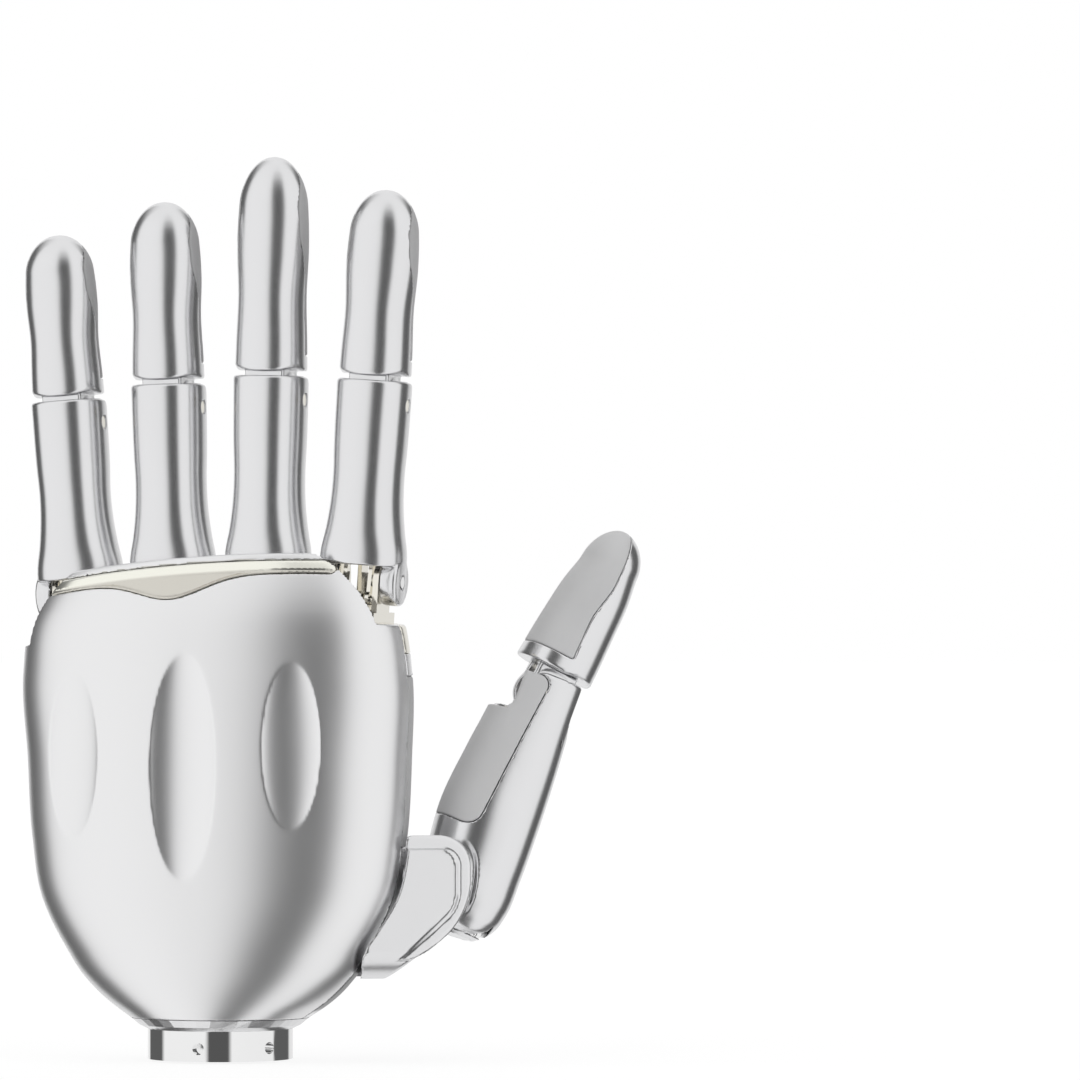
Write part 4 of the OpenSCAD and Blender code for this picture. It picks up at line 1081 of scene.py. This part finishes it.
def repeat(name, tree, points, values, place, finish, body, nodes):
    """The tree's result on the points, made a plain mesh on its body in place of its nodes."""
    seed = bpy.data.meshes.new(name)
    seed.from_pydata([tuple(v * MM for v in p) for p in points], [], [])
    obj = bpy.data.objects.new(name, seed)
    bpy.context.scene.collection.objects.link(obj)
    modifier = obj.modifiers.new("nodes", "NODES")
    modifier.node_group = tree
    values = {**values, "Sides": sizes().screw_sides, "Material": material(finish)}
    for item in tree.interface.items_tree:
        if item.in_out == "INPUT" and item.name in values:
            modifier[item.identifier] = values[item.name]
    bpy.context.view_layer.update()
    made = obj.evaluated_get(bpy.context.evaluated_depsgraph_get())
    mesh = bpy.data.meshes.new_from_object(made)
    obj.modifiers.clear()
    obj.data = mesh
    mesh.transform(place)
    if not mesh.polygons:
        raise RuntimeError(f"{name} came out empty")
    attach(obj, body)
    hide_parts(*nodes)
    return obj


# ---- operators ----


def step():
    return sizes().mesh_step


class HAND_OT_proximal_links(bpy.types.Operator):
    """Build the four fingers' proximal links"""

    bl_idname = "hand.proximal_links"
    bl_label = "Proximal Links"

    def execute(self, context):
        s = sizes()
        for finger in FINGERS:
            place, l = finger_place(finger)
            grow(
                f"{finger}_proximal_link_shell",
                proximal_field(l, s.finger_w, s.finger_d, s.edge),
                (-10, -9, -6), (10, 9, l + 6.5), step(), place,
                "satin silver", f"{finger}_proximal", [f"{finger}_proximal_link"],
            )
        return {"FINISHED"}


class HAND_OT_fingertips(bpy.types.Operator):
    """Build the fingertip shells and their soft pads, the thumb's among them"""

    bl_idname = "hand.fingertips"
    bl_label = "Fingertips"

    def execute(self, context):
        s = sizes()
        for finger in (*FINGERS, "thumb"):
            if finger == "thumb":
                link, l = thumb_place()
                turn = Matrix.Rotation(THUMB_TIP_TURN, 4, "X")
                place = link @ Matrix.Translation((0, 0, l * MM)) @ turn
                w, d, z0, y0, legs = s.thumb_w, THUMB_DEPTH, THUMB_CAP_Z, THUMB_SPLIT_Y, (LEG_X, LEG_T, BOSS_R)
            else:
                place = tip_place(finger)
                w, d, z0, y0, legs = s.finger_w, s.finger_d, CAP_Z, SPLIT_Y, TIP_LEGS
            body, rubber = f"{finger}_distal", "thumb pad" if finger == "thumb" else "soft pad"
            tip = tip_length(finger, place)
            low, high = (-w / 2 - 1, -d / 2 - 1, -7), (w / 2 + 1, d / 2 + 1, tip + 1)
            grow(f"{finger}_tip_shell", tip_shell_field(tip, w, d, z0, y0, *legs, s.edge), low, high, step(),
                 place, "satin silver", body, [f"{finger}_distal_shell"])
            pad = grow(f"{finger}_tip_pad", tip_pad_field(tip, w, d, z0, y0), low, high, step() * 1.1,
                       place, rubber, body, [f"{finger}_distal_pad"])
        return {"FINISHED"}


class HAND_OT_palm(bpy.types.Operator):
    """Build the palm's front housing, its soft pad and the knuckle band"""

    bl_idname = "hand.palm"
    bl_label = "Palm"

    def execute(self, context):
        s = sizes()
        here = Matrix.Identity(4)
        w = s.palm_half + 1
        low, high = (-w, -s.palm_front - 1, BASE_Z - 1), (w, PART_Y + 1, s.deck_z + 1)
        grow("palm_front_housing", palm_frame_field(), low, high, 0.5,
             here, "palm housing", "palm", ["palm_frame"])
        pad = grow("palm_soft_pad", palm_pad_field(), low, high, 0.5,
                   here, "palm pad", "palm", ["palm_pad"])
        grow("knuckle_deck_band", band_field(), (-w, -s.palm_front - 1, s.deck_z - 16), (w, 12, s.deck_z + 13),
             0.42, here, "champagne chrome", "palm", ["knuckle_band"])
        return {"FINISHED"}


class HAND_OT_back(bpy.types.Operator):
    """Build the domed back shell and its inlay"""

    bl_idname = "hand.back"
    bl_label = "Back"

    def execute(self, context):
        s = sizes()
        here = Matrix.Identity(4)
        w = s.palm_half + 1
        low, high = (-w, PART_Y - 1, BASE_Z - 1), (w, s.palm_back + 1, s.shell_top + 1.5)
        grow("domed_back_shell", back_shell_field(), low, high, 0.5,
             here, "gloss silver", "palm", ["back_shell"])
        grow("back_shell_inlay", inlay_field(), (-31, 7, s.shell_top - 14), (37, s.palm_back, s.shell_top + 1),
             0.3, here, "inlay chrome", "palm", ["back_inlay"])
        return {"FINISHED"}


class HAND_OT_thumb(bpy.types.Operator):
    """Build the thumb's link, its cover and its bracket"""

    bl_idname = "hand.thumb"
    bl_label = "Thumb"

    def execute(self, context):
        s = sizes()
        place, l = thumb_place()
        low, high = (-11.5, -13.2, -9.5), (11.5, 10.4, l + 6)
        grow("thumb_link_housing", thumb_link_field(l, s.thumb_half, s.edge), low, high, step() * 1.1,
             place, "satin silver", "thumb_link", ["thumb_link"])
        grow("thumb_soft_cover", thumb_cover_field(l, s.thumb_half), low, high, step(),
             place, "thumb pad", "thumb_link", ["thumb_cover"])
        grow("thumb_yoke", bracket_field(), (-14.5, -14.5, -14.5), (17, 37, 17), step() * 1.2,
             bracket_place(), "satin silver", "thumb_bracket", ["thumb_bracket"])
        return {"FINISHED"}


class HAND_OT_fixings(bpy.types.Operator):
    """Build the dome screws of the deck, the thumb's screws and its fold pins"""

    bl_idname = "hand.fixings"
    bl_label = "Screws And Pins"

    def execute(self, context):
        s = sizes()
        knuckles = [JOINTS[f"{finger}_flexion"]["pos_m"][0] / MM for finger in FINGERS]
        between = [(a + b) / 2 for a, b in zip(knuckles, knuckles[1:])]
        screws, pins = screw_tree(), pin_tree()
        heads = {"Radius": 2.5 * MM, "Height": 3.1 * MM, "Socket": 1.15 * MM, "Steep": 1.0}
        repeat("deck_dome_screws", screws, [(x, -3, s.deck_z + arch(x) + 0.35) for x in between], heads,
               Matrix.Identity(4), "champagne chrome", "palm", ["knuckle_screws"])
        link, l = thumb_place()
        heads = {"Radius": 1.2 * MM, "Height": 1.6 * MM, "Socket": 0.6 * MM, "Steep": 5.0}
        facing = link @ Matrix.Rotation(math.radians(-90), 4, "X")
        repeat("thumb_link_screws", screws, [(0, -z, 6.4) for z in cover_screws(l)], heads,
               facing, "bright chrome", "thumb_link", ["thumb_screws"])
        across = bracket_place() @ Matrix.Rotation(math.radians(90), 4, "Y")
        repeat("thumb_fold_pins", pins, [(0, 0, -7.4), (0, 0, 7.4)], {"Radius": 2.0 * MM, "Length": 3.2 * MM},
               across, "bright chrome", "thumb_bracket", ["thumb_fold_axles"])
        return {"FINISHED"}


NODE_FINISH = {
    "silver": "satin silver",
    "gloss_silver": "gloss silver",
    "chrome": "bright chrome",
    "champagne": "champagne chrome",
    "rubber": "soft pad",
    "dark": "dark plastic",
    "board": "board",
    "brass": "brass",
}


class HAND_OT_finishes(bpy.types.Operator):
    """Give every CAD node that still shows the finish of its material slot"""

    bl_idname = "hand.finishes"
    bl_label = "Finishes"

    def execute(self, context):
        slots = {part["node"]: part["material_slot"] for part in frame["record"]["subparts"]}
        for name, node in frame["nodes"].items():
            finish = NODE_FINISH[slots[name]]
            if name.endswith(("knuckle_block", "tip_axle", "coupler_link", "pull_rod")) or name == "knuckle_screws":
                finish = "champagne chrome"
            node.data.materials.clear()
            node.data.materials.append(material(finish))
        return {"FINISHED"}


class HAND_OT_stage(bpy.types.Operator):
    """Set the floor, the studio light and the camera"""

    bl_idname = "hand.stage"
    bl_label = "Stage"

    def execute(self, context):
        set_camera()
        set_world()
        set_floor()
        return {"FINISHED"}


VIEW_TURN = math.radians(195.75)
VIEW_DISTANCE = 1.9
VIEW_WIDTH = 0.2264


def set_camera():
    back = Vector((math.sin(VIEW_TURN), -math.cos(VIEW_TURN), 0))
    right = Vector((-back.y, back.x, 0))
    target = right * 0.067 + Vector((0, 0, 0.1086))
    data = bpy.data.cameras.new("camera")
    data.sensor_width = 36
    data.lens = 18 / (VIEW_WIDTH / 2 / VIEW_DISTANCE)
    data.clip_end = 20
    camera = bpy.data.objects.new("camera", data)
    camera.location = target + back * VIEW_DISTANCE
    camera.rotation_euler = (-back).to_track_quat("-Z", "Y").to_euler()
    bpy.context.scene.collection.objects.link(camera)
    bpy.context.scene.camera = camera


STUDIO_PEAK = 1.25  # brightness of the colour ramp's white
# direction round the hand in degrees, from +X towards +Y, and the brightness there
STUDIO = (
    (-180, 1.12), (-160, 1.12), (-154, 0.14), (-116, 0.14), (-108, 1.0), (-70, 1.08), (-46, 1.12),
    (-39, 0.14), (0, 0.14), (8, 1.15), (84, 1.15), (90, 0.12), (120, 0.12), (126, 1.15), (180, 1.12),
)


def set_world():
    """Even white light with a few narrow dark flags at table height, as in a product studio."""
    scene = bpy.context.scene
    scene.view_settings.view_transform = "Standard"
    world = bpy.data.worlds.new("studio")
    scene.world = world
    world.use_nodes = True
    tree = world.node_tree
    tree.nodes.clear()
    shade = Shade(tree)
    output = tree.nodes.new("ShaderNodeOutputWorld")
    coord = shade.node("ShaderNodeTexCoord", out=0)
    split = tree.nodes.new("ShaderNodeSeparateXYZ")
    tree.links.new(coord.socket, split.inputs[0])
    x, y, z = (Value(shade, split.outputs[k]) for k in range(3))
    turn = y.math("ARCTAN2", y, x) * (0.5 / math.pi) + 0.5
    stops = [(0.5 + degrees / 360, tone / STUDIO_PEAK) for degrees, tone in STUDIO]
    level = shade.node("ShaderNodeValToRGB", settings={"stops": stops}, Fac=turn) * STUDIO_PEAK
    rise = smooth_ramp(shade, z, 0.45, 1.0)
    level = level * (1 - rise) + rise * 1.1
    studio = tree.nodes.new("ShaderNodeBackground")
    shade.feed(studio.inputs[1], level)
    plain = tree.nodes.new("ShaderNodeBackground")
    plain.inputs[0].default_value = (1, 1, 1, 1)
    plain.inputs[1].default_value = 1.0
    path = tree.nodes.new("ShaderNodeLightPath")
    mix = tree.nodes.new("ShaderNodeMixShader")
    tree.links.new(path.outputs["Is Camera Ray"], mix.inputs[0])
    tree.links.new(studio.outputs[0], mix.inputs[1])
    tree.links.new(plain.outputs[0], mix.inputs[2])
    tree.links.new(mix.outputs[0], output.inputs[0])


def set_floor():
    mesh = bpy.data.meshes.new("floor")
    reach = 6.0
    corners = [(-reach, -reach, 0), (reach, -reach, 0), (reach, reach, 0), (-reach, reach, 0)]
    mesh.from_pydata(corners, [], [(0, 1, 2, 3)])
    floor = bpy.data.objects.new("floor", mesh)
    mesh.transform(Matrix.Translation((0, 0, -0.0005)))
    bpy.context.scene.collection.objects.link(floor)
    mat, shade, bsdf, where = new_material("floor")
    tone = tuple(colours().floor)
    base = blend_colour(shade, noise(shade, where, 3.0), tone, toned(tone, 1.01))
    shade.feed(bsdf.inputs["Base Color"], base)
    bsdf.inputs["Roughness"].default_value = 0.8
    tree = mat.node_tree
    glow = tree.nodes.new("ShaderNodeEmission")
    glow.inputs[1].default_value = 1.12
    path = tree.nodes.new("ShaderNodeLightPath")
    mix = tree.nodes.new("ShaderNodeMixShader")
    seen = Value(shade, path.outputs["Is Camera Ray"]) * 0.75
    shade.feed(mix.inputs[0], seen)
    tree.links.new(bsdf.outputs[0], mix.inputs[1])
    tree.links.new(glow.outputs[0], mix.inputs[2])
    out = next(n for n in tree.nodes if n.bl_idname == "ShaderNodeOutputMaterial")
    tree.links.new(mix.outputs[0], out.inputs[0])
    mesh.materials.append(mat)
    floor.visible_glossy = False


class HAND_PT_panel(bpy.types.Panel):
    bl_label = "Robot Hand"
    bl_space_type = "VIEW_3D"
    bl_region_type = "UI"
    bl_category = "Robot Hand"

    def draw(self, context):
        for operator in OPERATORS:
            self.layout.operator(operator.bl_idname)
        for group in (context.scene.hand_sizes, context.scene.hand_colours):
            box = self.layout.box()
            for name in group.bl_rna.properties.keys():
                if name not in ("rna_type", "name"):
                    box.prop(group, name)


OPERATORS = (
    HAND_OT_finishes,
    HAND_OT_proximal_links,
    HAND_OT_fingertips,
    HAND_OT_palm,
    HAND_OT_back,
    HAND_OT_thumb,
    HAND_OT_fixings,
    HAND_OT_stage,
)
CLASSES = (HandSizes, HandColours, *OPERATORS, HAND_PT_panel)


def register():
    for cls in CLASSES:
        bpy.utils.register_class(cls)
    bpy.types.Scene.hand_sizes = PointerProperty(type=HandSizes)
    bpy.types.Scene.hand_colours = PointerProperty(type=HandColours)


def unregister():
    del bpy.types.Scene.hand_colours
    del bpy.types.Scene.hand_sizes
    for cls in reversed(CLASSES):
        bpy.utils.unregister_class(cls)


def main():
    register()
    for operator in OPERATORS:
        group, name = operator.bl_idname.split(".")
        getattr(getattr(bpy.ops, group), name)()


if __name__ == "__main__":
    main()
